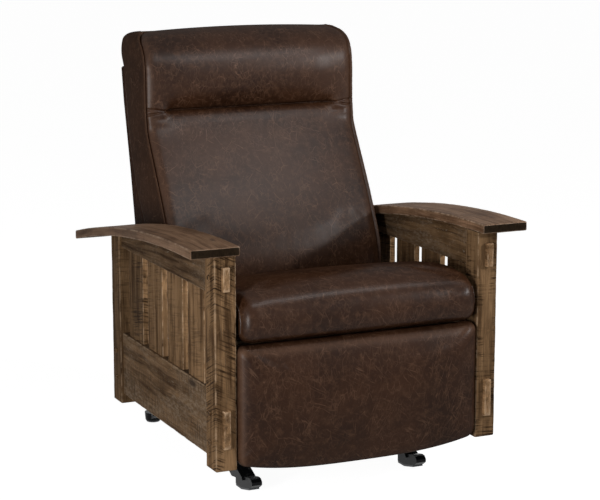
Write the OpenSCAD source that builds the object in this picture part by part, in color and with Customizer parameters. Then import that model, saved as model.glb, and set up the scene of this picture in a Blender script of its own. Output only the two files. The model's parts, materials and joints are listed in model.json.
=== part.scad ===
// Rocker recliner: slatted wood sides with bowed arms, leather seat, back and leg rest, steel mechanism.
// X runs from the left arm to the right arm as seen from the front, Y runs to the back, Z is up.
// The origin is on the floor, in the middle of the overall width and depth. Millimetres.

/* [Posts] */
// Width over the posts, left to right
frame_w = 774; // [740:1:820]
// Depth over the posts, front to back
frame_d = 746; // [736:1:780]
// Width of each post, left to right
post_w = 56.4; // [50:0.1:60]
// Depth of each post, front to back
post_d = 63; // [55:1:70]
// Height of the post bottoms above the floor
floor_gap = 112; // [106:1:130]
// Clearance on every side of a wood joint
joint_fit = 0.1; // [0.05:0.05:0.3]

/* [Arms] */
// Width of an arm
arm_w = 127; // [100:1:150]
// Thickness of an arm
arm_t = 24; // [18:1:32]
// How far an arm stands forward of the front posts
arm_front_over = 25; // [10:1:32]
// How far an arm stands behind the rear posts
arm_rear_over = 94; // [40:1:110]
// Height of the highest point of an arm above the floor
arm_top_z = 672.5; // [662:0.5:712]
// Distance of the highest point behind the front faces of the front posts
arm_peak_in = 13; // [0:1:60]
// Radius of the bow of an arm's top
arm_r = 3460; // [3200:10:6000]

/* [Side panels] */
// Thickness of the side rails
rail_t = 30; // [26:1:36]
// How far the rails' outer faces lie inside the posts' outer faces
rail_inset = 6.5; // [4:0.5:10]
// Height of the lower rail's lower edge above the post bottoms
lower_rail_up = 26; // [10:1:28]
// Height of the lower rail
lower_rail_h = 172; // [160:1:190]
// Height of the upper rail's lower edge above the floor
upper_rail_z = 547; // [537:1:554]
// Thickness of the tenons
tenon_t = 19.5; // [12:0.5:22]
// How far the tenons stand through the posts
tenon_proud = 12; // [4:1:18]
// Chamfer at the tenon ends
tenon_chamfer = 3; // [1:0.5:3.5]
// Height of the lower tenon
lower_tenon_h = 97; // [70:1:100]
// Shoulder below the lower tenon
lower_shoulder = 31; // [20:1:40]
// Height of the upper tenon's lower edge above the upper rail's lower edge
upper_shoulder = 12; // [8:1:16]
// Height of the front end of the upper tenon
upper_tenon_h = 62; // [50:1:64]
// Height of the upper rail's rear tenon, where the arm has dropped
rear_tenon_h = 14; // [8:1:15]
// Height of that tenon's lower edge above the upper rail's lower edge
rear_shoulder = 2; // [1:1:3]
// Number of slats on each side
slat_n = 4; // [3:1:5]
// Width of a slat
slat_w = 103; // [80:1:110]
// Thickness of a slat
slat_t = 17; // [12:1:18]
// How far each slat enters the rails
slat_tongue = 10; // [6:1:12]
// Width of the square pegs
peg_w = 11; // [8:0.5:12]
// How far the pegs stand out of the posts
peg_proud = 5; // [2:0.5:8]
// Distance of the lower pegs from the ends of the lower tenon
peg_in = 12; // [8:1:20]

/* [Frame inside] */
// Height of the stretchers under the seat
stretcher_h = 40; // [30:1:50]
// Thickness of the stretchers
stretcher_t = 22; // [18:1:26]
// Height of the stretchers' lower edges above the post bottoms
stretcher_up = 30; // [28:1:40]
// Height of the cross rail between the rear posts
rear_rail_h = 90; // [60:1:100]
// Height of that rail's lower edge above the stretchers' lower edges
rear_rail_up = 12; // [8:1:20]
// How far the rear cross rail lies inside the rear posts' faces
rear_rail_in = 6; // [0:1:12]
// Gap between the hanging cranks and the front stretcher
stretcher_gap = 24; // [12:1:30]
// Distance of the middle stretcher's front face from the rocker pins
stretcher_rear = 100; // [80:1:110]
// Height of the cleats on the lower rails
cleat_h = 70; // [60:1:75]
// Distance of the cleats' tops below the lower rails' tops
cleat_down = 18; // [14:1:24]
// Gap between the posts and the ends of the cleats and mechanism rails
cleat_gap = 8; // [4:1:12]
// Height of a mechanism rail
mech_rail_h = 44; // [38:1:46]
// Thickness of a steel mechanism rail
mech_rail_t = 5; // [4:0.5:6]
// Gap between a mechanism rail and the posts' inner faces
mech_gap = 5.6; // [4:0.2:8]

/* [Base] */
// Distance of the base rails' middles inside the posts' inner faces
base_in = 97.6; // [94:0.2:106]
// Width of a base rail
base_rail_w = 24; // [22:1:28]
// Height of a base rail
base_rail_h = 36; // [30:1:40]
// Wall of the base tubes
tube_wall = 2.5; // [2:0.5:3]
// Height of the base rails' lower faces above the floor
base_rail_z = 34; // [30:1:38]
// Width of a foot
foot_w = 28; // [26:1:34]
// Width of the plate that ties a foot to its rail
strut_w = 38; // [32:1:48]
// Height of a foot's block
foot_h = 24; // [20:1:30]
// Thickness of the glide under each foot
glide_t = 5; // [3:0.5:6]
// Angle at which the toe of a foot rises
toe_angle = 14; // [8:1:16]
// Distance of the front toes from the middle of the posts
toe_y = 266; // [255:1:272]
// Length of a front foot's block
foot_len = 106; // [96:1:110]
// Length of its level sole
foot_flat = 38; // [30:1:44]
// Distance of the rear feet's ends from the middle of the posts
heel_y = 506; // [480:1:508]
// Radius of the round heel of a rear foot
heel_r = 24; // [18:1:26]
// Height of a heel
heel_h = 22; // [18:1:28]

/* [Rocker] */
// Distance of the rocker pins behind the middle of the posts
rock_y = 50; // [30:1:70]
// Height of the rocker pins above the floor
rock_z = 112; // [108:1:116]
// Radius of the rocker pins
rock_pin_r = 8; // [6:0.5:9]
// Outer radius of the rubber bushes
bush_r = 14; // [12:0.5:15]
// Thickness of the rocker hangers and the ears beside them
hanger_t = 6; // [5:0.5:6.5]

/* [Links] */
// Thickness of the steel links
link_t = 4; // [3:0.5:4.5]
// Gap between neighbouring links
link_gap = 2; // [1.5:0.1:2.2]
// Width of the links
link_w = 22; // [20:1:24]
// Radius of the pivot pins
pin_r = 6; // [5:0.5:7]
// Running clearance around the pivot pins
pin_clear = 0.05; // [0.03:0.01:0.08]
// How far each pin stops short of the far face of the link that it carries
pin_short = 0.4; // [0.2:0.1:0.8]
// Length of the seat's swing links between pins
swing_len = 100; // [90:1:104]
// Angle at which the swing links lean back at rest
swing_lean = 18; // [12:1:20]
// Height of the swing links' lower pins above the floor
swing_z = 247; // [242:1:252]
// Distance of the swing links' lower pins from the middle of the posts
swing_y = 135; // [125:1:140]
// Distance of the crank's pivot behind the front posts' faces
crank_in = 159; // [155:1:165]
// Height of the crank's pivot above the floor
crank_z = 340; // [337:1:342]
// How far the crank's middle pin hangs behind its pivot
crank_back = 107; // [102:1:112]
// How far the crank's middle pin hangs below its pivot
crank_down = 143; // [138:1:148]
// Distance between the upper and lower long links
link_drop = 100; // [94:1:104]
// Forward distance from the crank's pivot to the follower's
follower_fwd = 53; // [50:1:56]
// Rise from the crank's pivot to the follower's
follower_up = 18; // [15:1:20]
// Distance of the leg rest's pins behind the front posts' faces
foot_pin_in = 61; // [58:1:66]
// Height of the leg rest's upper pin above the floor
foot_pin_z = 361; // [354:1:366]
// Radius of the cross tubes
cross_r = 11; // [9:0.5:12]

/* [Seat] */
// Height of the seat frame's top above the floor
deck_z = 422; // [418:1:426]
// Height of the seat frame's rails
seat_rail_h = 38; // [32:1:40]
// Width of the seat frame's rails
seat_rail_w = 40; // [32:1:44]
// Distance of the seat frame behind the front posts' faces
seat_rail_in = 48; // [44:1:60]
// Distance of the seat frame in front of the seat cushion's rear edge
seat_rail_back = 5; // [0:1:10]
// Distance of the seat cushion's rear edge in front of the recline pins
seat_cushion_in = 70; // [64:1:76]
// Gap between the seat cushion and each front post
seat_gap = 6.6; // [4:0.2:12]
// How far the seat cushion stands forward of the front posts
seat_front_over = 26; // [10:1:32]
// Thickness of the seat cushion at its front roll
seat_front_t = 136; // [126:1:140]
// Thickness of the seat cushion at its rear edge
seat_rear_t = 60; // [50:1:66]
// Gap below a cushion
cushion_gap = 0.3; // [0.2:0.1:0.5]
// Number of zigzag springs under the seat
spring_n = 6; // [4:1:7]
// Radius of the rounded ends of the seat cushion
seat_end_r = 26; // [16:1:34]
// How far the top of the seat cushion falls from its middle to its ends
seat_drop = 9; // [4:1:12]

/* [Back] */
// Gap between the back and the line of the posts' inner faces
back_gap = 24.6; // [22:0.2:30]
// Distance of the head roll's rear edge behind the recline pins
back_d = 324; // [300:1:330]
// Distance of the recline pins behind the middle of the posts
recline_y = 170; // [166:1:174]
// Height of the recline pins above the floor
recline_z = 417; // [414:1:420]
// Height of the back cushion's lower edge above the floor
back_z = 440; // [438:1:444]
// Height of the back cushion, measured upright
back_h = 674; // [640:1:700]
// How far the middle of the back cushion stands forward of its edges
back_crown = 12; // [4:1:13]
// How far the top of the outside back lies below the head roll's top
back_step = 100; // [80:1:120]
// How far the outside back's top reaches behind the head roll
back_over = 14; // [6:1:17]
// Thickness of the outside back's wall
back_wall = 3; // [2:0.5:3]
// Width of the wooden uprights in the back
stile_w = 32; // [26:1:40]
// Height of the wooden cross rails in the back
back_rail_h = 66; // [50:1:80]
// Height of the lower one above the back cushion's lower edge
back_rail_up = 10; // [6:1:20]
// Number of webbing straps behind the back cushion
strap_n = 4; // [3:1:5]
// Height of a webbing strap
strap_h = 50; // [40:1:60]
// Thickness of a webbing strap
strap_t = 3; // [2:0.5:4]

/* [Leg rest] */
// Gap between the leg rest pad and each front post
pad_gap = 2.6; // [1.6:0.2:8]
// Height of the pad's lower edge at the middle above the floor
pad_z = 93; // [88:1:102]
// Height of the pad's upper edge above the floor
pad_top_z = 419; // [412:1:420]
// How far the pad's lower corners rise
pad_smile = 28; // [10:1:36]
// Thickness of the pad at its middle
pad_t = 67; // [60:1:70]
// Thickness of the board behind the pad
board_t = 15; // [12:1:18]
// Gap between the board and the ends of the long links
board_gap = 7; // [5:1:9]

/* [Hidden] */

// Faces and middles that several pieces share
front_y = -frame_d / 2;
rear_y = frame_d / 2;
outer_x = frame_w / 2;
inner_x = outer_x - post_w;
base_x = inner_x - base_in;
seat_half_w = inner_x - seat_gap;
back_half_w = inner_x - back_gap;
pad_half_w = inner_x - pad_gap;
rail_x = outer_x - rail_inset - rail_t;
lower_rail_z = floor_gap + lower_rail_up;
lower_rail_top = lower_rail_z + lower_rail_h;
post_mid = post_d / 2;
arm_y = front_y + arm_peak_in;
arm_axis_z = arm_top_z - arm_r;
arm_under_r = arm_r - arm_t;
tenon_z = lower_rail_z + lower_shoulder;
upper_tenon_z = upper_rail_z + upper_shoulder;
rear_tenon_z = upper_rail_z + rear_shoulder;
bow_n = 36;
pin_fn = 48;

// The links lie in layers, counted inward from the mechanism rail
mech_x = inner_x - mech_gap - mech_rail_t;
function layer(k) = mech_x - (k + 1) * (link_gap + link_t);
swing_x = layer(0);
plate_x = layer(1);
follower_x = layer(2);
upper_link_x = layer(3);
crank_x = layer(4);
lower_link_x = layer(5);

// Pivots in the side view, as [Y, Z]
swing_top = [swing_len * sin(swing_lean), swing_len * cos(swing_lean)];
front_swing = [-swing_y, swing_z];
rear_swing = [swing_y, swing_z];
recline = [recline_y, recline_z];
crank = [front_y + crank_in, crank_z];
follower = crank + [-follower_fwd, follower_up];
crank_mid = crank + [crank_back, -crank_down];
crank_end = crank_mid - [0, link_drop];
follower_end = crank_mid + [-follower_fwd, follower_up];
foot_upper = [front_y + foot_pin_in, foot_pin_z];
foot_lower = foot_upper - [0, link_drop];
board_y = foot_upper[0] - link_w / 2 - board_gap;

// Overall depth, which puts the origin in the middle of it
pad_front_y = board_y - board_t - cushion_gap - pad_t;
back_rear_y = recline_y + back_d + back_over;
mid_y = (pad_front_y + max(back_rear_y, heel_y)) / 2;

// Moves a piece from the middle of the posts to the middle of the chair
module place() { translate([0, -mid_y, 0]) children(); }
// Puts a right-hand piece on the side given, 1 for right and -1 for left
module on_side(side) { mirror([side < 0 ? 1 : 0, 0, 0]) children(); }
module both_sides() { for (side = [-1, 1]) on_side(side) children(); }
// Extrudes an outline drawn in Y and Z along X, from x
module slab(x, t) { translate([x, 0, 0]) rotate([90, 0, 90]) linear_extrude(t) children(); }
// A box from its low corner to its high corner
module block(low, high) { translate(low) cube(high - low); }
// A round pin along X at a pivot given as [Y, Z]
module pin(at, x0, x1, r) {
    translate([x0, at[0], at[1]]) rotate([0, 90, 0]) cylinder(h = x1 - x0, r = r, $fn = pin_fn);
}
// The outline of a link with round ends
module bar(p, q, w = link_w) {
    d = q - p;
    translate(p) rotate(atan2(d[1], d[0])) {
        circle(d = w, $fn = pin_fn);
        translate([norm(d), 0]) circle(d = w, $fn = pin_fn);
        translate([0, -w / 2]) square([norm(d), w]);
    }
}
module hole(at, r = pin_r) { translate(at) circle(r = r + pin_clear, $fn = pin_fn); }

// The arms' bow at a radius r, as points at steps that the arms, posts and rails share
arm_y0 = front_y - arm_front_over;
arm_y1 = rear_y + arm_rear_over;
function bow(r) = [for (i = [0 : bow_n]) let (y = arm_y0 + (arm_y1 - arm_y0) * i / bow_n)
    [y, arm_axis_z + sqrt(r * r - pow(y - arm_y, 2))]];
// Everything below the arms' undersides, out to the right
module under_arm() {
    gap = [0, -joint_fit];
    slab(0, 2 * outer_x) polygon(concat([[arm_y0, 0]], [for (p = bow(arm_under_r)) p + gap], [[arm_y1, 0]]));
}

// A smooth curve through points, by Catmull and Rom's rule, with n steps a span
function pick(p, i) = p[max(0, min(len(p) - 1, i))];
function curve_at(p, i, t) =
    let (a = pick(p, i - 1), b = pick(p, i), c = pick(p, i + 1), d = pick(p, i + 2))
    0.5 * (2 * b + (c - a) * t + (2 * a - 5 * b + 4 * c - d) * t * t
        + (3 * b - a - 3 * c + d) * t * t * t);
function curve(p, n) = concat([for (i = [0 : len(p) - 2]) for (k = [0 : n - 1]) curve_at(p, i, k / n)],
    [p[len(p) - 1]]);

// A closed skin over rings of points, with both ends fanned to their middles
function mean(r) = [for (a = [0 : 2]) [for (p = r) p[a]] * [for (p = r) 1] / len(r)];
module loft(rings) {
    n = len(rings[0]);
    m = len(rings);
    points = concat([for (r = rings) each r], [mean(rings[0]), mean(rings[m - 1])]);
    walls = [for (i = [0 : m - 2]) for (j = [0 : n - 1])
        let (a = i * n + j, b = i * n + (j + 1) % n) each [[a, b, b + n], [a, b + n, a + n]]];
    ends = [for (j = [0 : n - 1]) each [[m * n, (j + 1) % n, j],
        [m * n + 1, (m - 1) * n + j, (m - 1) * n + (j + 1) % n]]];
    polyhedron(points, concat(walls, ends), convexity = 4);
}

// A post with its mortises and peg holes, from the floor gap to the arm
module post(side, front) {
    y0 = front ? front_y : rear_y - post_d;
    inward = front ? post_d : 0;
    place() on_side(side) difference() {
        intersection() {
            block([inner_x, y0, floor_gap], [outer_x, y0 + post_d, arm_top_z]);
            under_arm();
        }
        mortise(y0, tenon_z, lower_tenon_h);
        mortise(y0, front ? upper_tenon_z : rear_tenon_z, front ? upper_tenon_h : rear_tenon_h);
        for (z = front ? front_pegs : rear_pegs) peg_hole(y0 + post_mid, z);
    }
}
module mortise(y0, z, h) {
    block([rail_x - joint_fit, y0 - 1, z - joint_fit],
        [rail_x + tenon_t + joint_fit, y0 + post_d + 1, z + h + joint_fit]);
}
front_pegs = [tenon_z + peg_in, tenon_z + lower_tenon_h - peg_in, upper_tenon_z + upper_tenon_h / 2];
rear_pegs = [tenon_z + peg_in, tenon_z + lower_tenon_h - peg_in];
peg_x = rail_x - 6;
module peg_hole(y, z) {
    w = peg_w / 2 + joint_fit;
    block([peg_x, y - w, z - w], [outer_x + 1, y + w, z + w]);
}
module pegs(side) {
    w = peg_w / 2;
    place() on_side(side) for (y = [front_y + post_mid, rear_y - post_mid])
        for (z = y < 0 ? front_pegs : rear_pegs)
            block([peg_x, y - w, z - w], [outer_x + peg_proud, y + w, z + w]);
}
module left_front_post() { color("#62492f") post(-1, true); }
module right_front_post() { color("#62492f") post(1, true); }
module left_rear_post() { color("#5a432d") post(-1, false); }
module right_rear_post() { color("#5a432d") post(1, false); }
module left_pegs() { color("#7d6448") pegs(-1); }
module right_pegs() { color("#7d6448") pegs(1); }

// A through tenon, chamfered where it stands out of a post
module tenon(z, h, y0, y1) {
    c = tenon_chamfer;
    out = y0 < 0 ? y0 : y1;
    step = y0 < 0 ? c : -c;
    block([rail_x, y0 < 0 ? y0 + c : y0, z], [rail_x + tenon_t, y0 < 0 ? y1 : y1 - c, z + h]);
    hull() {
        block([rail_x + c, min(out, out + step / 2), z + c],
            [rail_x + tenon_t - c, max(out, out + step / 2), z + h - c]);
        block([rail_x, min(out + step, out + step * 1.1), z],
            [rail_x + tenon_t, max(out + step, out + step * 1.1), z + h]);
    }
}
module tenons(front_z, front_h, rear_z, rear_h) {
    difference() {
        union() {
            tenon(front_z, front_h, front_y - tenon_proud, front_y + post_d);
            tenon(rear_z, rear_h, rear_y - post_d, rear_y + tenon_proud);
        }
        for (p = front_pegs) peg_hole(front_y + post_mid, p);
        for (p = rear_pegs) peg_hole(rear_y - post_mid, p);
    }
}
module lower_rail(side) {
    place() on_side(side) {
        difference() {
            block([rail_x, front_y + post_d, lower_rail_z],
                [rail_x + rail_t, rear_y - post_d, lower_rail_top]);
            slat_slots();
        }
        tenons(tenon_z, lower_tenon_h, tenon_z, lower_tenon_h);
    }
}
module upper_rail(side) {
    place() on_side(side) {
        difference() {
            intersection() {
                block([rail_x, front_y + post_d, upper_rail_z],
                    [rail_x + rail_t, rear_y - post_d, arm_top_z]);
                under_arm();
            }
            slat_slots();
        }
        tenons(upper_tenon_z, upper_tenon_h, rear_tenon_z, rear_tenon_h);
    }
}
module left_lower_rail() { color("#6b5138") lower_rail(-1); }
module right_lower_rail() { color("#6b5138") lower_rail(1); }
module left_upper_rail() { color("#5f4730") upper_rail(-1); }
module right_upper_rail() { color("#5f4730") upper_rail(1); }

// Slats stand in slots in both rails, with equal gaps between the posts
slat_space = frame_d - 2 * post_d;
slat_gap = (slat_space - slat_n * slat_w) / (slat_n + 1);
slat_x = rail_x + (rail_t - slat_t) / 2;
function slat_y(i) = front_y + post_d + slat_gap + i * (slat_w + slat_gap);
module slat(i, grow) {
    block([slat_x - grow, slat_y(i) - grow, lower_rail_top - slat_tongue - grow],
        [slat_x + slat_t + grow, slat_y(i) + slat_w + grow, upper_rail_z + slat_tongue + grow]);
}
module slat_slots() { for (i = [0 : slat_n - 1]) slat(i, joint_fit); }
module slats(side) { place() on_side(side) for (i = [0 : slat_n - 1]) slat(i, 0); }
module left_slats() { color("#6e553a") slats(-1); }
module right_slats() { color("#6e553a") slats(1); }

// A bowed arm, flush with the posts' inner faces
module arm(side) {
    under = bow(arm_under_r);
    place() on_side(side) slab(inner_x, arm_w)
        polygon(concat(bow(arm_r), [for (i = [bow_n : -1 : 0]) under[i]]));
}
module left_arm() { color("#5c3f2c") arm(-1); }
module right_arm() { color("#5c3f2c") arm(1); }

// Cleats carry the steel mechanism rails inside the lower rails
cleat_z = lower_rail_top - cleat_h - cleat_down;
cleat_y = rear_y - post_d - cleat_gap;
module cleat(side) {
    place() on_side(side) block([mech_x + mech_rail_t, -cleat_y, cleat_z],
        [rail_x, cleat_y, cleat_z + cleat_h]);
}
module left_cleat() { color("#a98a5f") cleat(-1); }
module right_cleat() { color("#a98a5f") cleat(1); }
stretcher_z = floor_gap + stretcher_up;
front_stretcher_y = crank_mid[0] + link_w / 2 + stretcher_gap;
middle_stretcher_y = rock_y + stretcher_rear;
module stretcher(y) {
    place() block([-rail_x, y, stretcher_z], [rail_x, y + stretcher_t, stretcher_z + stretcher_h]);
}
module front_stretcher() { color("#a98a5f") stretcher(front_stretcher_y); }
module middle_stretcher() { color("#a98a5f") stretcher(middle_stretcher_y); }
module rear_cross_rail() {
    y = rear_y - rear_rail_in;
    z = stretcher_z + rear_rail_up;
    color("#5a432d") place() block([-inner_x, y - stretcher_t, z], [inner_x, y, z + rear_rail_h]);
}

// Steel rails on the cleats, with a fixed pin for each swing link
module mechanism_rail(side) {
    z = swing_z - mech_rail_h / 2;
    place() on_side(side) {
        block([mech_x, -cleat_y, z], [mech_x + mech_rail_t, cleat_y, z + mech_rail_h]);
        for (p = [front_swing, rear_swing]) pin(p, swing_x + pin_short, mech_x + 1, pin_r);
    }
}
module left_mechanism_rail() { color("#26272a") mechanism_rail(-1); }
module right_mechanism_rail() { color("#26272a") mechanism_rail(1); }

// Rocker hangers under the stretchers, with rubber bushes on the rocker pins
hanger_x = base_x - hanger_t / 2;
hanger_y0 = front_stretcher_y;
hanger_y1 = middle_stretcher_y + stretcher_t;
rock = [rock_y, rock_z];
module rocker_hanger(side) {
    tab_t = 4;
    tab_w = 20;
    deep = 14;
    foot = 26;
    sole = rock_z - 10;
    eye_r = bush_r + 8;
    place() on_side(side) {
        difference() {
            slab(hanger_x, hanger_t) {
                polygon([[hanger_y0, stretcher_z], [hanger_y0, stretcher_z - deep], [rock_y - foot, sole],
                    [rock_y + foot, sole], [hanger_y1, stretcher_z - deep], [hanger_y1, stretcher_z]]);
                translate(rock) circle(r = eye_r, $fn = pin_fn);
            }
            pin(rock, hanger_x - 1, hanger_x + hanger_t + 1, bush_r + pin_clear);
        }
        for (y = [hanger_y0, hanger_y1 - stretcher_t])
            block([hanger_x - tab_w, y, stretcher_z - tab_t], [hanger_x, y + stretcher_t, stretcher_z]);
    }
}
module left_rocker_hanger() { color("#2c2d30") rocker_hanger(-1); }
module right_rocker_hanger() { color("#2c2d30") rocker_hanger(1); }
module rocker_bushes() {
    lip = 0.5;
    color("#1a1a1a") place() both_sides() difference() {
        pin(rock, hanger_x - lip, hanger_x + hanger_t + lip, bush_r);
        pin(rock, hanger_x - 1, hanger_x + hanger_t + 1, rock_pin_r + pin_clear);
    }
}

// Base: two rails of square tube on moulded feet, tied by two round tubes
foot_back_y = foot_len - toe_y;
rail_front_y = foot_back_y + 50;
rail_rear_y = heel_y - 98;
tube_in = 40;
tube_r = cross_r + 2;
base_top = base_rail_z + base_rail_h;
module base_rail(side) {
    w = base_rail_w / 2;
    t = tube_wall;
    place() on_side(side) difference() {
        block([base_x - w, rail_front_y, base_rail_z], [base_x + w, rail_rear_y, base_top]);
        block([base_x - w + t, rail_front_y - 1, base_rail_z + t],
            [base_x + w - t, rail_rear_y + 1, base_top - t]);
    }
}
module left_base_rail() { color("#1d1e20") base_rail(-1); }
module right_base_rail() { color("#1d1e20") base_rail(1); }
module base_tube(y) {
    reach = base_x - base_rail_w / 2;
    at = [y, base_rail_z + base_rail_h / 2];
    place() difference() {
        pin(at, -reach, reach, tube_r);
        pin(at, -reach - 1, reach + 1, tube_r - tube_wall);
    }
}
module front_base_tube() { color("#1d1e20") base_tube(rail_front_y + tube_in); }
module rear_base_tube() { color("#1d1e20") base_tube(rail_rear_y - tube_in); }
module pivot_brackets() {
    ear_gap = 3;
    ear_t = (base_rail_w - hanger_t) / 2 - ear_gap;
    ear_r = rock_pin_r + 9;
    foot = 2 * ear_r;
    color("#26272a") place() both_sides()
        for (x = [base_x - base_rail_w / 2, base_x + base_rail_w / 2 - ear_t]) difference() {
            slab(x, ear_t) {
                polygon([[rock_y - foot, base_top], [rock_y - ear_r, rock_z], [rock_y + ear_r, rock_z],
                    [rock_y + foot, base_top]]);
                translate(rock) circle(r = ear_r, $fn = pin_fn);
            }
            pin(rock, x - 1, x + ear_t + 1, rock_pin_r + pin_clear);
        }
}
module rocker_pins() {
    pin_out = 3;
    reach = base_rail_w / 2 + pin_out;
    color("#9a9ca0") place() both_sides() pin(rock, base_x - reach, base_x + reach, rock_pin_r);
}

// A front foot: a block whose toe rises, with a wide plate that climbs back to the rail
function toe_rise(y) = max(0, (foot_back_y - foot_flat - y) * tan(toe_angle));
plate_t = 6;
module front_feet() {
    y0 = -toe_y;
    z1 = glide_t + toe_rise(y0);
    top = glide_t + foot_h;
    color("#151516") place() both_sides() {
        slab(base_x - foot_w / 2, foot_w) polygon([[foot_back_y, glide_t],
            [foot_back_y - foot_flat, glide_t], [y0 + 12, z1 - 3], [y0, z1 + 6],
            [y0, z1 + foot_h - 10], [y0 + 8, z1 + foot_h - 3], [y0 + 20, z1 + foot_h - 2],
            [foot_back_y - 12, top], [foot_back_y, top - plate_t]]);
        slab(base_x - strut_w / 2, strut_w) polygon([[foot_back_y - 56, top], [foot_back_y, top - plate_t],
            [foot_back_y + 14, top - plate_t - 2], [rail_front_y, base_rail_z + 4], [rail_front_y, base_top],
            [rail_front_y + tube_in, base_top], [rail_front_y + tube_in, base_top + plate_t],
            [rail_front_y - 6, base_top + plate_t], [foot_back_y - 50, top + plate_t + 2]]);
    }
}
// A rear foot: a level block with a round heel, and a plate that drops to it from the rail
heel_mid = heel_y - heel_r;
module rear_feet() {
    y0 = rail_rear_y;
    top = glide_t + heel_h;
    sole = glide_t + 2;
    color("#151516") place() both_sides() {
        translate([base_x, heel_mid, glide_t])
            cylinder(h = heel_h, r1 = heel_r - 2, r2 = heel_r, $fn = pin_fn);
        slab(base_x - foot_w / 2, foot_w) polygon([[y0, base_rail_z], [heel_mid - heel_r / 2, sole],
            [heel_mid, sole], [heel_mid, top], [y0 + 30, top], [y0, base_top]]);
        slab(base_x - strut_w / 2, strut_w) polygon([[y0 - tube_in, base_top], [y0, base_top],
            [y0 + 28, top], [y0 + 36, top], [y0 + 4, base_top + plate_t],
            [y0 - tube_in, base_top + plate_t]]);
    }
}
// Glides: the flat grey soles that the chair stands on
module foot_glides() {
    y0 = foot_back_y - 2;
    y1 = foot_back_y - foot_flat;
    toe = -toe_y + 18;
    z1 = glide_t + toe_rise(toe);
    fit = 0.6;
    color("#8b8d92") place() both_sides() {
        slab(base_x - foot_w / 2, foot_w) polygon([[y0, 0], [y1, 0], [toe, z1 - glide_t - fit],
            [toe, z1 - fit], [y1, glide_t], [y0, glide_t]]);
        translate([base_x, heel_mid, 0])
            cylinder(h = glide_t, r1 = heel_r - 5, r2 = heel_r - 3, $fn = pin_fn);
    }
}

// Swing links carry the seat, leaning back at rest
module swing_links(at) {
    top = at + swing_top;
    color("#3a3b3e") place() both_sides() slab(swing_x, link_t) difference() {
        bar(at, top);
        hole(at);
        hole(top);
    }
}
module front_swing_links() { swing_links(front_swing); }
module rear_swing_links() { swing_links(rear_swing); }

// Seat plates: steel, with the swing, crank, follower and recline pins
plate_front_y = follower[0] - 14;
seat_back_y = recline_y - seat_cushion_in;
collar_r = pin_r + 4;
module seat_plate(side) {
    edge = plate_x + link_t;
    top = deck_z - 5;
    rim = 14;
    eye_r = 16;
    low = swing_z + swing_top[1];
    lean = swing_top[0];
    place() on_side(side) {
        slab(plate_x, link_t) {
            polygon([[plate_front_y, top], [plate_front_y, follower[1] - rim],
                [crank[0] - rim, crank[1] - rim], [-swing_y + lean, low - rim],
                [swing_y + lean, low - rim], [swing_y + lean + rim, low - rim / 2],
                [recline_y + eye_r, recline_z], [seat_back_y, top]]);
            translate(recline) circle(r = eye_r, $fn = pin_fn);
        }
        for (p = [front_swing, rear_swing])
            pin(p + swing_top, edge - 1, swing_x + link_t - pin_short, pin_r);
        pin(follower, follower_x + pin_short, edge - 1, pin_r);
        pin(crank, crank_x + pin_short, edge - 1, pin_r);
        pin(recline, back_bracket_x + pin_short, edge - 1, pin_r);
        pin(recline, back_bracket_x + link_t + cushion_gap, edge - 1, collar_r);
    }
}
module left_seat_plate() { color("#3a3b3e") seat_plate(-1); }
module right_seat_plate() { color("#3a3b3e") seat_plate(1); }

// Seat frame: four wooden rails between the plates, with zigzag springs
seat_rail_y0 = front_y + seat_rail_in;
seat_rail_y1 = seat_back_y - seat_rail_back;
seat_rail_z = deck_z - seat_rail_h;
seat_rail_x = plate_x - seat_rail_w;
module seat_side_rails() {
    color("#b8965f") place() both_sides()
        block([seat_rail_x, seat_rail_y0, seat_rail_z], [plate_x, seat_rail_y1, deck_z]);
}
module seat_front_rail() {
    color("#b8965f") place() block([-seat_rail_x, seat_rail_y0, seat_rail_z],
        [seat_rail_x, seat_rail_y0 + seat_rail_w, deck_z]);
}
module seat_rear_rail() {
    color("#b8965f") place() block([-seat_rail_x, seat_rail_y1 - seat_rail_w, seat_rail_z],
        [seat_rail_x, seat_rail_y1, deck_z]);
}
seat_tube = [60, swing_z + swing_top[1] + 10];
module seat_cross_tube() {
    color("#2c2d30") place() difference() {
        pin(seat_tube, -plate_x, plate_x, cross_r);
        pin(seat_tube, -plate_x - 1, plate_x + 1, cross_r - tube_wall);
    }
}
module seat_springs() {
    wire = 4;
    swing = 22;
    turns = 12;
    y0 = seat_rail_y0 + seat_rail_w;
    len = seat_rail_y1 - seat_rail_w - y0;
    pitch = 2 * seat_rail_x / spring_n;
    left = [for (i = [0 : turns]) [(i % 2 == 0 ? -swing : swing), y0 + len * i / turns]];
    right = [for (i = [turns : -1 : 0]) [left[i][0] + wire * 1.6, left[i][1]]];
    color("#8f9195") place() for (i = [0 : spring_n - 1])
        translate([(i - (spring_n - 1) / 2) * pitch, 0, deck_z - 8])
            linear_extrude(wire) polygon(concat(left, right));
}

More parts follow.
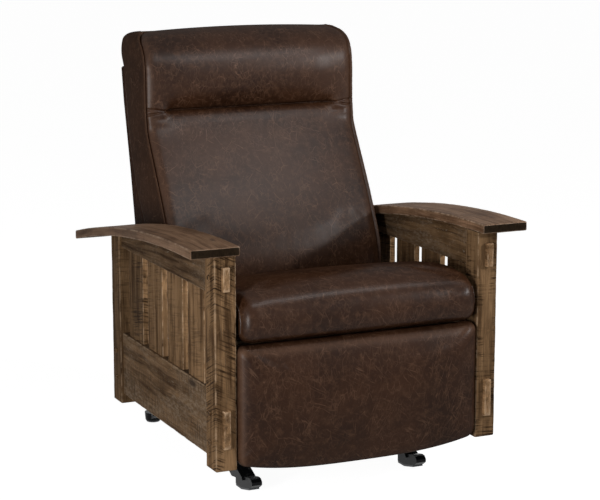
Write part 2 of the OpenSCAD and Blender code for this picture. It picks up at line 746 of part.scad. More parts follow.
// Seat cushion: a side profile swept across, drawn in at its rounded ends
seat_z = deck_z + cushion_gap;
seat_front_y = front_y - seat_front_over;
seat_rear_y = seat_back_y;
module seat_cushion() {
    h = seat_front_t;
    run = seat_rear_y - seat_front_y;
    rear_t = seat_rear_t;
    share = [[0.268, 0], [0.13, 0.002 * h], [0.054, 0.034 * h], [0.014, 0.14 * h], [0, 0.37 * h],
        [0.008, 0.62 * h], [0.04, 0.82 * h], [0.1, 0.95 * h], [0.19, h], [0.31, 0.985 * h],
        [0.5, 0.875 * h], [0.78, 0.3 * h + 0.75 * rear_t], [0.92, 1.067 * rear_t],
        [0.98, 0.867 * rear_t], [1, 0.533 * rear_t], [0.992, 0.2 * rear_t], [0.952, 0]];
    side = curve([for (p = share) [seat_front_y + p[0] * run, seat_z + p[1]]], 2);
    middle = [(seat_front_y + seat_rear_y) / 2, seat_z + seat_rear_t / 2];
    r = seat_end_r;
    steps = 7;
    ends = [for (i = [0 : steps]) let (a = 90 * i / steps) [seat_half_w - r + r * sin(a), r * (1 - cos(a))]];
    flats = [for (x = [0.92, 0.7, 0.4, 0.15]) [x * (seat_half_w - r), 0]];
    right = concat([for (i = [steps : -1 : 0]) ends[i]], flats);
    stations = concat(right, [for (i = [len(right) - 1 : -1 : 0]) [-right[i][0], right[i][1]]]);
    color("#3b2a23") place() loft([for (s = stations) [for (p = side)
        let (d = middle - p, q = p + d * min(0.9, s[1] / norm(d)), crown = seat_crown(s[0], p))
        [s[0], q[0], max(seat_z, q[1] - crown)]]]);
}
// The top falls a little from the middle of the seat to its ends
function seat_crown(x, p) = seat_drop * pow(x / seat_half_w, 2) * (p[1] - seat_z) / seat_front_t;

// Back: curves of its front face and of the seam behind it, as [Y, Z]
function up(k) = back_z + k * back_h;
function at(f, k) = [recline_y + f * back_d, up(k)];
back_front = [
    at(-0.117, 0), at(-0.154, 0.03), at(-0.160, 0.07), at(-0.145, 0.135), at(-0.111, 0.19),
    at(-0.049, 0.255), at(0.086, 0.375), at(0.235, 0.495), at(0.383, 0.612), at(0.457, 0.668),
    at(0.503, 0.694), at(0.463, 0.722), at(0.426, 0.765), at(0.414, 0.84), at(0.432, 0.903),
    at(0.494, 0.953), at(0.611, 0.986), at(0.710, 1)];
back_seam = [
    at(0.130, 0), at(0.247, 0.03), at(0.290, 0.07), at(0.367, 0.135), at(0.429, 0.19),
    at(0.503, 0.255), at(0.667, 0.375), at(0.781, 0.495), at(0.852, 0.612), at(0.877, 0.668),
    at(0.886, 0.694), at(0.895, 0.722), at(0.910, 0.765), at(0.935, 0.84), at(1.000, 0.903),
    at(0.981, 0.953), at(0.901, 0.986), at(0.772, 1)];
// A slice of the cushion: a rounded rectangle from the front face to the seam
slice_n = 34;
function bump(a, p) = sign(a) * pow(abs(a), 2 / p);
function slice(f, s, half, crown) = [for (i = [0 : slice_n - 1])
    let (a = 360 * (i + 0.5) / slice_n, x = half * bump(cos(a), 9), y = (f[0] + s[0]) / 2,
        d = (s[0] - f[0]) / 2, out = crown * (1 - pow(abs(x) / half, 2)))
    [x, y + d * bump(sin(a), 5) - (sin(a) < 0 ? out : 0), (f[1] + s[1]) / 2]];
module back_cushion() {
    front = curve(back_front, 2);
    seam = curve(back_seam, 2);
    n = len(front) - 1;
    color("#3b2a23") place() loft([for (i = [0 : n])
        let (half = back_half_w - (i == 0 ? 10 : i == n ? 12 : i == 1 || i == n - 1 ? 4 : 0))
        slice(front[i], seam[i], half, i < 6 ? 2 + i : back_crown * min(1, 0.3 * (n - i)))]);
}

// The outside back stands behind the seam and ends below the head roll
outer_top = back_z + back_h - back_step;
back_foot_z = up(-0.056);
outer_line = [at(0.664, -0.056), at(0.735, 0.08), at(0.765, 0.226), at(0.852, 0.432), at(0.932, 0.592),
    at(0.994, 0.712)];
module zone(front_in, rear_in, z0, z1) {
    low = at(0.284, -0.056);
    seam = [for (p = curve(back_seam, 2)) if (p[1] > up(0.01) && p[1] < up(0.9)) p + [front_in, 0]];
    rear = back_rear_y - rear_in;
    back = [for (i = [len(outer_line) - 1 : -1 : 0]) outer_line[i] - [rear_in, 0]];
    intersection() {
        polygon(concat([low + [front_in, 0]], seam, [[rear, up(0.9)], [rear, outer_top]], back));
        translate([0, z0]) square([2 * back_rear_y, z1 - z0]);
    }
}
module outside_back() {
    w = back_half_w;
    color("#35251f") place() difference() {
        slab(-w, 2 * w) zone(cushion_gap, 0, back_foot_z, outer_top);
        slab(-w + back_wall, 2 * (w - back_wall))
            zone(-60, back_wall, back_foot_z - 1, outer_top - back_wall);
    }
}
back_bracket_x = back_half_w - back_wall - link_gap - link_t;
stile_x = back_bracket_x - stile_w;
inner_gap = 0.5;
back_rail_z = back_z + back_rail_up;
module back_stiles() {
    color("#b8965f") place() both_sides() slab(stile_x, stile_w)
        zone(inner_gap, back_wall + inner_gap, back_rail_z, outer_top - back_wall - inner_gap);
}
module back_bottom_rail() {
    color("#b8965f") place() slab(-stile_x, 2 * stile_x)
        zone(inner_gap, back_wall + inner_gap, back_rail_z, back_rail_z + back_rail_h);
}
module back_top_rail() {
    z1 = outer_top - back_wall - inner_gap;
    color("#b8965f") place() slab(-stile_x, 2 * stile_x)
        zone(inner_gap, back_wall + inner_gap, z1 - back_rail_h, z1);
}
module back_webbing() {
    z0 = back_rail_z + back_rail_h;
    step = (outer_top - back_rail_h - z0) / (strap_n + 1);
    color("#6f6a5f") place() for (i = [1 : strap_n]) slab(-stile_x, 2 * stile_x) difference() {
        zone(inner_gap, back_wall + inner_gap, z0 + i * step - strap_h / 2, z0 + i * step + strap_h / 2);
        translate([strap_t, 0]) zone(inner_gap, -back_d, z0, outer_top);
    }
}
module back_brackets() {
    w = 28;
    knee = [at(0.383, 0)[0], recline_z + 4];
    end = at(0.586, 0.175);
    color("#3a3b3e") place() both_sides() difference() {
        slab(back_bracket_x, link_t) {
            bar(recline, knee, w);
            bar(knee, end, w);
        }
        pin(recline, back_bracket_x - 1, back_bracket_x + link_t + 1, pin_r + pin_clear);
    }
}

// Leg rest linkage. The crank turns, and both long links keep their angle
module follower_links() {
    color("#3a3b3e") place() both_sides() {
        slab(follower_x, link_t) difference() {
            bar(follower, follower_end);
            hole(follower);
        }
        pin(follower_end, upper_link_x + pin_short, follower_x + 1, pin_r);
    }
}
module crank_links() {
    color("#434448") place() both_sides() {
        slab(crank_x, link_t) difference() {
            union() {
                bar(crank, crank_mid);
                bar(crank_mid, crank_end);
            }
            hole(crank);
        }
        pin(crank_mid, crank_x + 1, upper_link_x + link_t - pin_short, pin_r);
        pin(crank_end, lower_link_x + pin_short, crank_x + 1, pin_r);
    }
}
crank_tube_up = 60;
tube_at = crank_mid + crank_tube_up * [-crank_back, crank_down] / norm([crank_back, crank_down]);
module crank_cross_tube() {
    color("#2c2d30") place() difference() {
        pin(tube_at, -crank_x, crank_x, cross_r);
        pin(tube_at, -crank_x - 1, crank_x + 1, cross_r - tube_wall);
    }
}
module upper_long_links() {
    color("#3a3b3e") place() both_sides() slab(upper_link_x, link_t) difference() {
        union() {
            bar(crank_mid, foot_upper);
            bar(crank_mid, follower_end);
            bar(follower_end, foot_upper);
        }
        hole(crank_mid);
        hole(follower_end);
        hole(foot_upper);
    }
}
module lower_long_links() {
    color("#434448") place() both_sides() slab(lower_link_x, link_t) difference() {
        bar(crank_end, foot_lower);
        hole(crank_end);
        hole(foot_lower);
    }
}

// Leg rest: brackets on a board, with the padded front
module leg_rest_brackets() {
    flange_w = 30;
    flange_t = 4;
    low = foot_lower[1] - link_w / 2;
    high = foot_upper[1] + link_w / 2;
    color("#3a3b3e") place() both_sides() {
        slab(crank_x, link_t) {
            bar(foot_lower, foot_upper);
            translate([board_y, low]) square([foot_upper[0] - board_y, high - low]);
        }
        block([crank_x - flange_w, board_y, low], [crank_x + 1, board_y + flange_t, high]);
        pin(foot_upper, crank_x + 1, upper_link_x + link_t - pin_short, pin_r);
        pin(foot_lower, lower_link_x + pin_short, crank_x + 1, pin_r);
    }
}
// Outline of the pad, drawn in by an inset: straight sides, round corners, a bottom edge that smiles
pad_corner = 20;
pad_mid_z = (pad_z + pad_top_z) / 2;
function pad_low(x) = pad_z + pad_smile * pow(abs(x) / pad_half_w, 3);
pad_right = concat(
    [for (k = [0 : 4]) [pad_half_w - pad_corner + pad_corner * sin(90 * k / 4),
        pad_top_z - pad_corner + pad_corner * cos(90 * k / 4)]],
    [[pad_half_w, pad_mid_z + 60], [pad_half_w, pad_mid_z - 60]],
    [for (k = [0 : 4]) let (x = pad_half_w - pad_corner + pad_corner * cos(90 * k / 4))
        [x, pad_low(x) + pad_corner * (1 - sin(90 * k / 4))]],
    [for (k = [0.82, 0.68, 0.52, 0.34, 0.16]) [k * pad_half_w, pad_low(k * pad_half_w)]]);
pad_top = [for (k = [0.16, 0.46, 0.76]) [k * pad_half_w, pad_top_z]];
pad_half = concat(pad_top, pad_right);
pad_outline = concat(pad_half, [for (i = [len(pad_half) - 1 : -1 : 0]) [-pad_half[i][0], pad_half[i][1]]]);
function pad_inset(p, inset) = [p[0] * (1 - inset / pad_half_w),
    pad_mid_z + (p[1] - pad_mid_z) * (1 - inset / (pad_mid_z - pad_z))];
module leg_rest_board() {
    color("#a98a5f") place() translate([0, board_y, 0]) rotate([90, 0, 0]) linear_extrude(board_t)
        polygon([for (p = pad_outline) pad_inset(p, 4)]);
}
module leg_rest_pad() {
    y0 = board_y - board_t - cushion_gap;
    steps = [[0, 3], [0.04, 0.6], [0.1, 0], [0.32, 0], [0.45, 2.5], [0.58, 9], [0.68, 18], [0.77, 32],
        [0.86, 56], [0.93, 86], [0.98, 118], [1, 150]];
    color("#3b2a23") place() loft([for (s = steps) [for (p = pad_outline)
        let (q = pad_inset(p, s[1])) [q[0], y0 - s[0] * pad_t, q[1]]]]);
}

left_front_post();
right_front_post();
left_rear_post();
right_rear_post();
left_lower_rail();
right_lower_rail();
left_upper_rail();
right_upper_rail();
left_slats();
right_slats();
left_arm();
right_arm();
left_pegs();
right_pegs();
left_cleat();
right_cleat();
front_stretcher();
middle_stretcher();
rear_cross_rail();
left_mechanism_rail();
right_mechanism_rail();
left_rocker_hanger();
right_rocker_hanger();
rocker_bushes();
left_base_rail();
right_base_rail();
front_base_tube();
rear_base_tube();
pivot_brackets();
rocker_pins();
front_feet();
rear_feet();
foot_glides();
front_swing_links();
rear_swing_links();
left_seat_plate();
right_seat_plate();
seat_side_rails();
seat_front_rail();
seat_rear_rail();
seat_cross_tube();
seat_springs();
seat_cushion();
back_stiles();
back_top_rail();
back_bottom_rail();
back_webbing();
outside_back();
back_brackets();
back_cushion();
follower_links();
crank_links();
crank_cross_tube();
upper_long_links();
lower_long_links();
leg_rest_brackets();
leg_rest_board();
leg_rest_pad();
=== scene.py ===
"""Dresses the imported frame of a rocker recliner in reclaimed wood, brown leather and steel."""

import json
import math

import bpy
import numpy as np
from bpy.props import FloatProperty, FloatVectorProperty, PointerProperty
from mathutils import Euler, Matrix, Vector


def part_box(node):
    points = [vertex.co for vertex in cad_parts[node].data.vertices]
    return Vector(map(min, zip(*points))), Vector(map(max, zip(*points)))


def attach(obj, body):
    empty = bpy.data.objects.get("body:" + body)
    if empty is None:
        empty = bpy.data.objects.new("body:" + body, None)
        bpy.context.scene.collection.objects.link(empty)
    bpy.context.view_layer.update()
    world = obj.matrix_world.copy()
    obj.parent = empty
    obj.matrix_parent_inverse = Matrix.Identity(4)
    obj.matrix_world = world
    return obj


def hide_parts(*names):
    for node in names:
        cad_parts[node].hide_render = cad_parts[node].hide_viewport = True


bl_info = {
    "name": "Rocker Recliner",
    "version": (1, 0, 0),
    "blender": (4, 5, 0),
    "location": "View3D > Sidebar > Recliner",
    "description": "Builds the boards, cushions and finishes of a rocker recliner on its frame",
    "category": "Object",
}

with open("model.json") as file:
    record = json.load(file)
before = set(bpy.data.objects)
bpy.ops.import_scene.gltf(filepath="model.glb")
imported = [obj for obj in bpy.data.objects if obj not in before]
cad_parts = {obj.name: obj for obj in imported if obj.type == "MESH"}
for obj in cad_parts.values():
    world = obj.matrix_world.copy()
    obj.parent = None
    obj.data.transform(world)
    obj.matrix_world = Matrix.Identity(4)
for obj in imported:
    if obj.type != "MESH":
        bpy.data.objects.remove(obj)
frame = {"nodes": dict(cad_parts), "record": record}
NODES = frame["nodes"]
SLOTS = {part["node"]: part["material_slot"] for part in frame["record"]["subparts"]}
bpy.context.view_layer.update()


def colour(name, text, rgb):
    """A colour property, with its default as linear red, green and blue."""
    return FloatVectorProperty(name=name, description=text, default=rgb, size=3, subtype="COLOR",
                               min=0, max=1)


def number(name, text, value, **kind):
    """A number property, with its limits, unit or subtype."""
    return FloatProperty(name=name, description=text, default=value, **kind)


def length(name, text, metres, low=0.0, high=10.0):
    """A length property in metres."""
    return number(name, text, metres, min=low, max=high, unit="LENGTH")


class WoodSettings(bpy.types.PropertyGroup):
    """Sizes and colours of the boards"""
    arris: length("Arris", "Radius of the worn edges of the boards", 0.0028, 0.001, 0.006)
    bow_radius: length("Bow radius", "Radius of the bow of an arm's top", 3.46, 2.0, 6.0)
    bow_peak: length("Bow peak", "Place of the bow's highest point along Y", -0.40785, -0.5, 0.0)
    bow_top: length("Bow top", "Height of the arms' highest point", 0.6725, 0.6, 0.8)
    dark: colour("Dark wood", "Darkest streaks of the boards", (0.026, 0.0135, 0.0064))
    mid: colour("Brown wood", "Middle colour of the boards", (0.134, 0.0710, 0.0320))
    light: colour("Light wood", "Lightest streaks of the boards", (0.320, 0.190, 0.095))
    arm_dark: colour("Dark arm", "Darkest streaks of the arms", (0.033, 0.0165, 0.0085))
    arm_mid: colour("Brown arm", "Middle colour of the arms", (0.140, 0.0735, 0.0395))
    arm_light: colour("Light arm", "Lightest streaks of the arms", (0.258, 0.155, 0.093))
    inner: colour("Inner wood", "Plain wood inside the upholstery", (0.20, 0.13, 0.07))


class LeatherSettings(bpy.types.PropertyGroup):
    """Colours of the leather and sizes of its seams"""
    dark: colour("Dark leather", "Darkest patches of the leather", (0.0140, 0.0049, 0.0020))
    mid: colour("Brown leather", "Middle colour of the leather", (0.0335, 0.0132, 0.0058))
    light: colour("Light leather", "Rubbed patches of the leather", (0.0560, 0.0265, 0.0142))
    # The vein colour also paints the highlight bands along the cushions' seams and edges.
    vein_and_highlight: colour("Veins", "Pale crackle lines in the leather", (0.128, 0.068, 0.041))
    seam: length("Seam", "Radius of the welts along the seams", 0.0012, 0.0005, 0.004)
    groove: length("Groove", "How deep a seam is drawn into the cushion", 0.0022, 0.0, 0.005)
    crown: length("Crown", "How far the back's middle stands forward", 0.009, 0.0, 0.013)
    corner: length("Corner", "Radius of the head roll's upper corners", 0.028, 0.01, 0.05)


class StageSettings(bpy.types.PropertyGroup):
    """Place and aim of the camera, and power of the lamps"""
    place: FloatVectorProperty(name="Camera", description="Place of the camera", size=3,
                               default=(-2.1065, -4.67615, 1.5753), subtype="XYZ", unit="LENGTH")
    yaw: number("Yaw", "Turn of the camera to the right of straight on", math.radians(24.5448),
                subtype="ANGLE", unit="ROTATION")
    pitch: number("Pitch", "Angle at which the camera looks down", math.radians(11.2497),
                  subtype="ANGLE", unit="ROTATION")
    lens: number("Lens", "Focal length on a 36 mm wide sensor", 118.41, unit="CAMERA")
    key: number("Key", "Power of the lamp in front on the right", 52.0, unit="POWER")
    side: number("Side", "Power of the tall lamp on the left", 60.0, unit="POWER")
    top: number("Top", "Power of the lamp above the seat", 9.5, unit="POWER")
    air: number("Air", "Strength of the light from all round", 0.08)


# Shapes as arrays, in metres

SIDE_STEP, LENGTH_STEP, CLOSE_STEP = 0.008, 0.009, 0.0015  # steps of a board's points
RUB_DEPTH, WAVE_DEPTH, SINK = 0.0012, 0.00035, 0.0003  # how far wear moves a board's faces
CLOTH_FRAMES = 20


def stack(*values):
    """The values side by side on a new last axis."""
    return np.stack(values, -1)


def ripple(x, seed, pitch):
    """Smooth noise from about -1 to 1: the sum of five sine waves of rising pitch, seeded."""
    rng = np.random.default_rng(seed)
    pitches = pitch * 1.6 ** np.arange(5) * rng.uniform(0.8, 1.25, 5)
    phases = rng.uniform(0, 2 * np.pi, 5)
    waves = np.sin(np.asarray(x)[..., None] * pitches + phases) / 1.3 ** np.arange(5)
    return waves.sum(-1) / 2.6


def ease(x):
    """Smooth step from 0 to 1: three x squared less two x cubed."""
    x = np.clip(x, 0, 1)
    return x * x * (3 - 2 * x)


def bell(away, width):
    """Bell curve: 1 at no distance away, falling to a third over the width."""
    return np.exp(-((np.asarray(away) / width) ** 2))


def smooth_line(knots, samples=24):
    """Curve through the knots by Catmull and Rom's cubic, with equal samples in every span."""
    knots = np.asarray(knots, float)
    ends = np.vstack([knots[:1], knots, knots[-1:]])
    t = np.linspace(0, 1, samples, endpoint=False)[:, None]
    a, b, c, d = (ends[i:len(ends) - 3 + i][:, None, :] for i in range(4))
    spans = 0.5 * (2 * b + (c - a) * t + (2 * a - 5 * b + 4 * c - d) * t**2
                   + (3 * b - a - 3 * c + d) * t**3)
    return np.vstack([spans.reshape(-1, knots.shape[1]), knots[-1:]])


def respace(lines, by, count, pull=None):
    """Samples every line at the same places, spaced evenly along one of them or by a pull on it."""
    steps = np.linalg.norm(np.diff(by, axis=0), axis=1)
    if pull is not None:
        steps = steps * pull[:-1]
    run = np.hstack([0, np.cumsum(steps)])
    at = np.linspace(0, run[-1], count)
    return [stack(*(np.interp(at, run, line[:, k]) for k in range(line.shape[1])))
            for line in lines]


def unit(ways):
    """The vectors at a length of 1."""
    return ways / np.linalg.norm(ways, axis=1, keepdims=True)


def beside(ways):
    """Unit directions square to the directions of a flat line, on its right."""
    way = unit(ways)
    return stack(way[:, 1], -way[:, 0])


def skin(rings, values=None, closed=False):
    """Closed skin over rings, with each end ring fanned to its middle or both ends joined."""
    rows, cols = rings.shape[:2]
    index = np.arange(rows * cols).reshape(rows, cols)
    if closed:
        index = np.vstack([index, index[:1]])
    after = np.roll(index, -1, axis=1)
    quads = stack(index[:-1], after[:-1], after[1:], index[1:]).reshape(-1, 4)
    points = rings.reshape(-1, 3)
    if closed:
        return outward({"points": points, "quads": quads, "tris": quads[:0, :3], "values": {}})
    low, high = rows * cols, rows * cols + 1
    fans = np.vstack([stack(np.full(cols, low), after[0], index[0]),
                      stack(np.full(cols, high), index[-1], after[-1])])
    kept = {"points": points, **(values or {})}
    for name, value in kept.items():
        flat = value.reshape(rows * cols, -1)
        kept[name] = np.vstack([flat, flat[:cols].mean(0), flat[-cols:].mean(0)])
    return outward({"points": kept.pop("points"), "quads": quads, "tris": fans, "values": kept})


def outward(part):
    """Turns every face round if the volume that the faces close is negative."""
    p, q, t = part["points"], part["quads"], part["tris"]
    corners = np.vstack([q[:, [0, 1, 2]], q[:, [0, 2, 3]], t])
    a, b, c = (p[corners[:, k]] for k in range(3))
    if np.einsum("ij,ij->i", a, np.cross(b, c)).sum() < 0:
        part["quads"], part["tris"] = q[:, ::-1], t[:, ::-1]
    return part


def joined(parts):
    """Several parts as one, with the faces' point numbers moved up."""
    starts = np.cumsum([0] + [len(p["points"]) for p in parts[:-1]])
    return {"points": np.vstack([p["points"] for p in parts]),
            "quads": np.vstack([p["quads"] + s for p, s in zip(parts, starts)]),
            "tris": np.vstack([p["tris"] + s for p, s in zip(parts, starts)]),
            "values": {n: np.vstack([p["values"][n] for p in parts]) for n in parts[0]["values"]}}


def mesh_of(name, part):
    """A mesh of a part's points and faces."""
    mesh = bpy.data.meshes.new(name)
    faces = part["quads"].tolist() + part["tris"].tolist()
    mesh.from_pydata(part["points"].tolist(), [], faces)
    return mesh


def link(name, data):
    """A new object for a mesh, a lamp or a camera, in the scene."""
    obj = bpy.data.objects.new(name, data)
    bpy.context.scene.collection.objects.link(obj)
    return obj


def put(name, part, finish, body, nodes=(), second=None):
    """Makes the object, gives it its finish and its named values, and hangs it on its body.

    A second finish comes with the name of a value, and covers the faces where that is over half.
    """
    mesh = mesh_of(name, part)
    mesh.polygons.foreach_set("use_smooth", np.ones(len(mesh.polygons), bool))
    for key, value in part["values"].items():
        kind, form = ("FLOAT", "value") if value.shape[1] == 1 else ("FLOAT_VECTOR", "vector")
        field = mesh.attributes.new(key, kind, "POINT")
        field.data.foreach_set(form, value.astype(np.float32).ravel())
    mesh.materials.append(finish)
    if second is not None:
        mesh.materials.append(second[0])
        there = part["values"][second[1]][:, 0] >= 0.5
        chosen = np.hstack([there[part[faces]].all(1) for faces in ("quads", "tris")])
        mesh.polygons.foreach_set("material_index", chosen.astype(np.int32))
    mesh.update()
    obj = link(name, mesh)
    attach(obj, body)
    if nodes:
        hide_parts(*nodes)
    return obj


def outline(half_w, half_h, radius):
    """Rounded rectangle, counter-clockwise: its points, outward directions and share of corner.

    The share is 0 on the straight sides and rises to 1 in the middle of a corner.
    """
    quarter = np.radians(np.linspace(0, 90, 5))
    points, facing, corner = [], [], []
    for k, (sx, sy) in enumerate(((1, 1), (-1, 1), (-1, -1), (1, -1))):
        turn = quarter + k * np.pi / 2
        ray = stack(np.cos(turn), np.sin(turn))
        points.append(np.array([sx * (half_w - radius), sy * (half_h - radius)]) + radius * ray)
        facing.append(ray)
        corner.append(np.sin(quarter * 2) * 0.5 + 0.5)
        run = 2 * ((half_w if k % 2 == 0 else half_h) - radius)
        way = np.array([(-1, 0), (0, -1), (1, 0), (0, 1)][k], float)
        steps = np.linspace(0, run, max(2, round(run / SIDE_STEP)) + 1)[1:-1]
        close = min(CLOSE_STEP, run / 4)
        steps = np.unique(np.round(np.hstack([close, steps, run - close]), 6))
        points.append(points[-1][-1] + steps[:, None] * way)
        facing.append(np.tile(ray[-1], (len(steps), 1)))
        corner.append(np.zeros(len(steps)))
    return np.vstack(points), np.vstack(facing), np.hstack(corner)


def board(low, high, along, seed, arris, tone=0.0, saw=0.5, slant=0.0, aged=0.0, cut=0.9,
          top=None, side=1):
    """A worn board: a rounded rectangle carried along, drawn in by a quarter circle at its ends.

    The corners are rubbed in, and the faces moved out and in, by smooth noise along the length.
    Where top is given, heights are scaled so that the upper face meets that height at every Y.
    A side of -1 mirrors the box.
    """
    low, high = np.array(low, float), np.array(high, float)
    if side < 0:
        low[0], high[0] = -high[0], -low[0]
    sides = [k for k in range(3) if k != along]
    half = (high - low)[sides] / 2
    run = high[along] - low[along]
    ring, facing, corner = outline(half[0], half[1], arris)
    turn = np.radians(np.linspace(0, 90, 5))
    near, draw = arris * (1 - np.cos(turn)), arris * (1 - np.sin(turn))
    middle = np.linspace(arris, run - arris, max(3, round(run / LENGTH_STEP)))[1:-1]
    place = np.hstack([[0] * 3, near, middle, run - near[::-1], [run] * 3])
    inset = np.hstack([[arris] * 3, draw, 0 * middle, draw[::-1], [arris] * 3])
    size = np.hstack([0.15, 0.45, 0.8, np.ones(len(place) - 6), 0.8, 0.45, 0.15])
    flat = ring[None] * ((half[None] - inset[:, None]) / half)[:, None, :] * size[:, None, None]
    body = (size == 1)[:, None]
    rub = corner * np.maximum(0, ripple(place[:, None] + facing.sum(1) * 0.7, seed, 60))
    rub = rub * RUB_DEPTH * body
    wave = ripple(place[:, None] + ring.sum(1) * 2, seed + 7, 22) * WAVE_DEPTH * body - SINK
    flat = flat + (wave - rub)[..., None] * facing
    shape = flat.shape[:2]
    points = np.zeros(shape + (3,))
    points[..., along] = low[along] + place[:, None]
    points[..., sides] = flat + (low + high)[sides] / 2
    if top is not None:
        above = points[..., 2] - low[2]
        points[..., 2] = low[2] + above * (top(points[..., 1]) - low[2]) / (high[2] - low[2])
    grain = stack(np.broadcast_to(place[:, None], shape), flat[..., 0], flat[..., 1])
    grain = grain + np.random.default_rng(seed).uniform(0, 9, 3)
    at_end = (inset / arris)[:, None] * body
    end = np.broadcast_to(((inset > 0.7 * arris) | (size < 1))[:, None], shape)
    return skin(points, {"grain": grain, "cut": end * cut, "aged": np.full(shape, aged),
                         "worn": np.maximum(np.broadcast_to(corner, shape), at_end),
                         "make": np.broadcast_to(np.array([tone, saw, slant]), shape + (3,))})


def tube(path, radius, closed=False, sides=8):
    """A round cord: a circle carried along the path, square to it, turned as little as possible."""
    path = np.asarray(path, float)
    if closed:
        ahead = unit(np.roll(path, -1, 0) - np.roll(path, 1, 0))
    else:
        ahead = unit(np.gradient(path, axis=0))
    guide = np.where(np.abs(ahead[:, :1]) < 0.9, [[1.0, 0, 0]], [[0, 0, 1.0]])
    across = unit(np.cross(ahead, guide))
    up = np.cross(ahead, across)
    turn = np.linspace(0, 2 * np.pi, sides, endpoint=False)
    spokes = (np.cos(turn)[None, :, None] * across[:, None]
              + np.sin(turn)[None, :, None] * up[:, None])
    return skin(path[:, None] + radius * spokes, closed=closed)


def stuffed(part, pressure, reach):
    """Swells a closed skin as cloth under pressure, held where its value called held is 1.

    Moves are scaled by reach over reach plus their size, so that none is longer than reach.
    """
    levels = np.round(part["values"].pop("held")[:, 0], 1)
    mesh = mesh_of("swelling", part)
    obj = link("swelling", mesh)
    group = obj.vertex_groups.new(name="held")
    for level in np.unique(levels[levels > 0]):
        group.add(np.flatnonzero(levels == level).tolist(), float(level), "REPLACE")
    cloth = obj.modifiers.new("Cloth", "CLOTH")
    cloth.point_cache.frame_start, cloth.point_cache.frame_end = 1, CLOTH_FRAMES
    how = {"quality": 6, "mass": 0.35, "tension_stiffness": 22, "compression_stiffness": 22,
           "shear_stiffness": 10, "bending_stiffness": 1.2, "use_pressure": True,
           "uniform_pressure_force": pressure, "vertex_group_mass": "held", "pin_stiffness": 1}
    for key, value in how.items():
        setattr(cloth.settings, key, value)
    cloth.settings.effector_weights.gravity = 0
    cloth.collision_settings.use_collision = False
    scene = bpy.context.scene
    for step in range(1, CLOTH_FRAMES + 1):
        scene.frame_set(step)
    ready = obj.evaluated_get(bpy.context.evaluated_depsgraph_get()).data
    found = np.array([point.co for point in ready.vertices])
    scene.frame_set(1)
    bpy.data.objects.remove(obj)
    bpy.data.meshes.remove(mesh)
    moved = found - part["points"]
    size = np.linalg.norm(moved, axis=1, keepdims=True)
    moved *= reach / (reach + size)
    return {**part, "points": part["points"] + moved}


# Finishes

class Nodes:
    """A node tree as it is put together: each method adds to it and gives back a result."""

    def __init__(self, tree):
        self.tree = tree

    def add(self, kind, inputs, output=0, **settings):
        """A shader node with its settings, and inputs set or joined up by name or number."""
        node = self.tree.nodes.new("ShaderNode" + kind)
        for key, value in settings.items():
            setattr(node, key, value)
        for key, value in inputs.items():
            if isinstance(value, bpy.types.NodeSocket):
                self.tree.links.new(value, node.inputs[key])
            else:
                node.inputs[key].default_value = value
        return node.outputs[output]

    def sum(self, how, a, b=0.0, c=0.0):
        """One step of arithmetic."""
        return self.add("Math", {0: a, 1: b, 2: c}, operation=how)

    def shown(self, socket, lit, seen):
        """Gives a socket one level as light, and another where it is seen or mirrored."""
        path = self.add("LightPath", {}).node.outputs
        found = self.sum("MAXIMUM", path["Is Camera Ray"], path["Is Transmission Ray"])
        found = self.sum("MAXIMUM", found, path["Is Glossy Ray"])
        level = self.add("MapRange", {"Value": found, "To Min": lit, "To Max": seen})
        self.tree.links.new(level, socket)


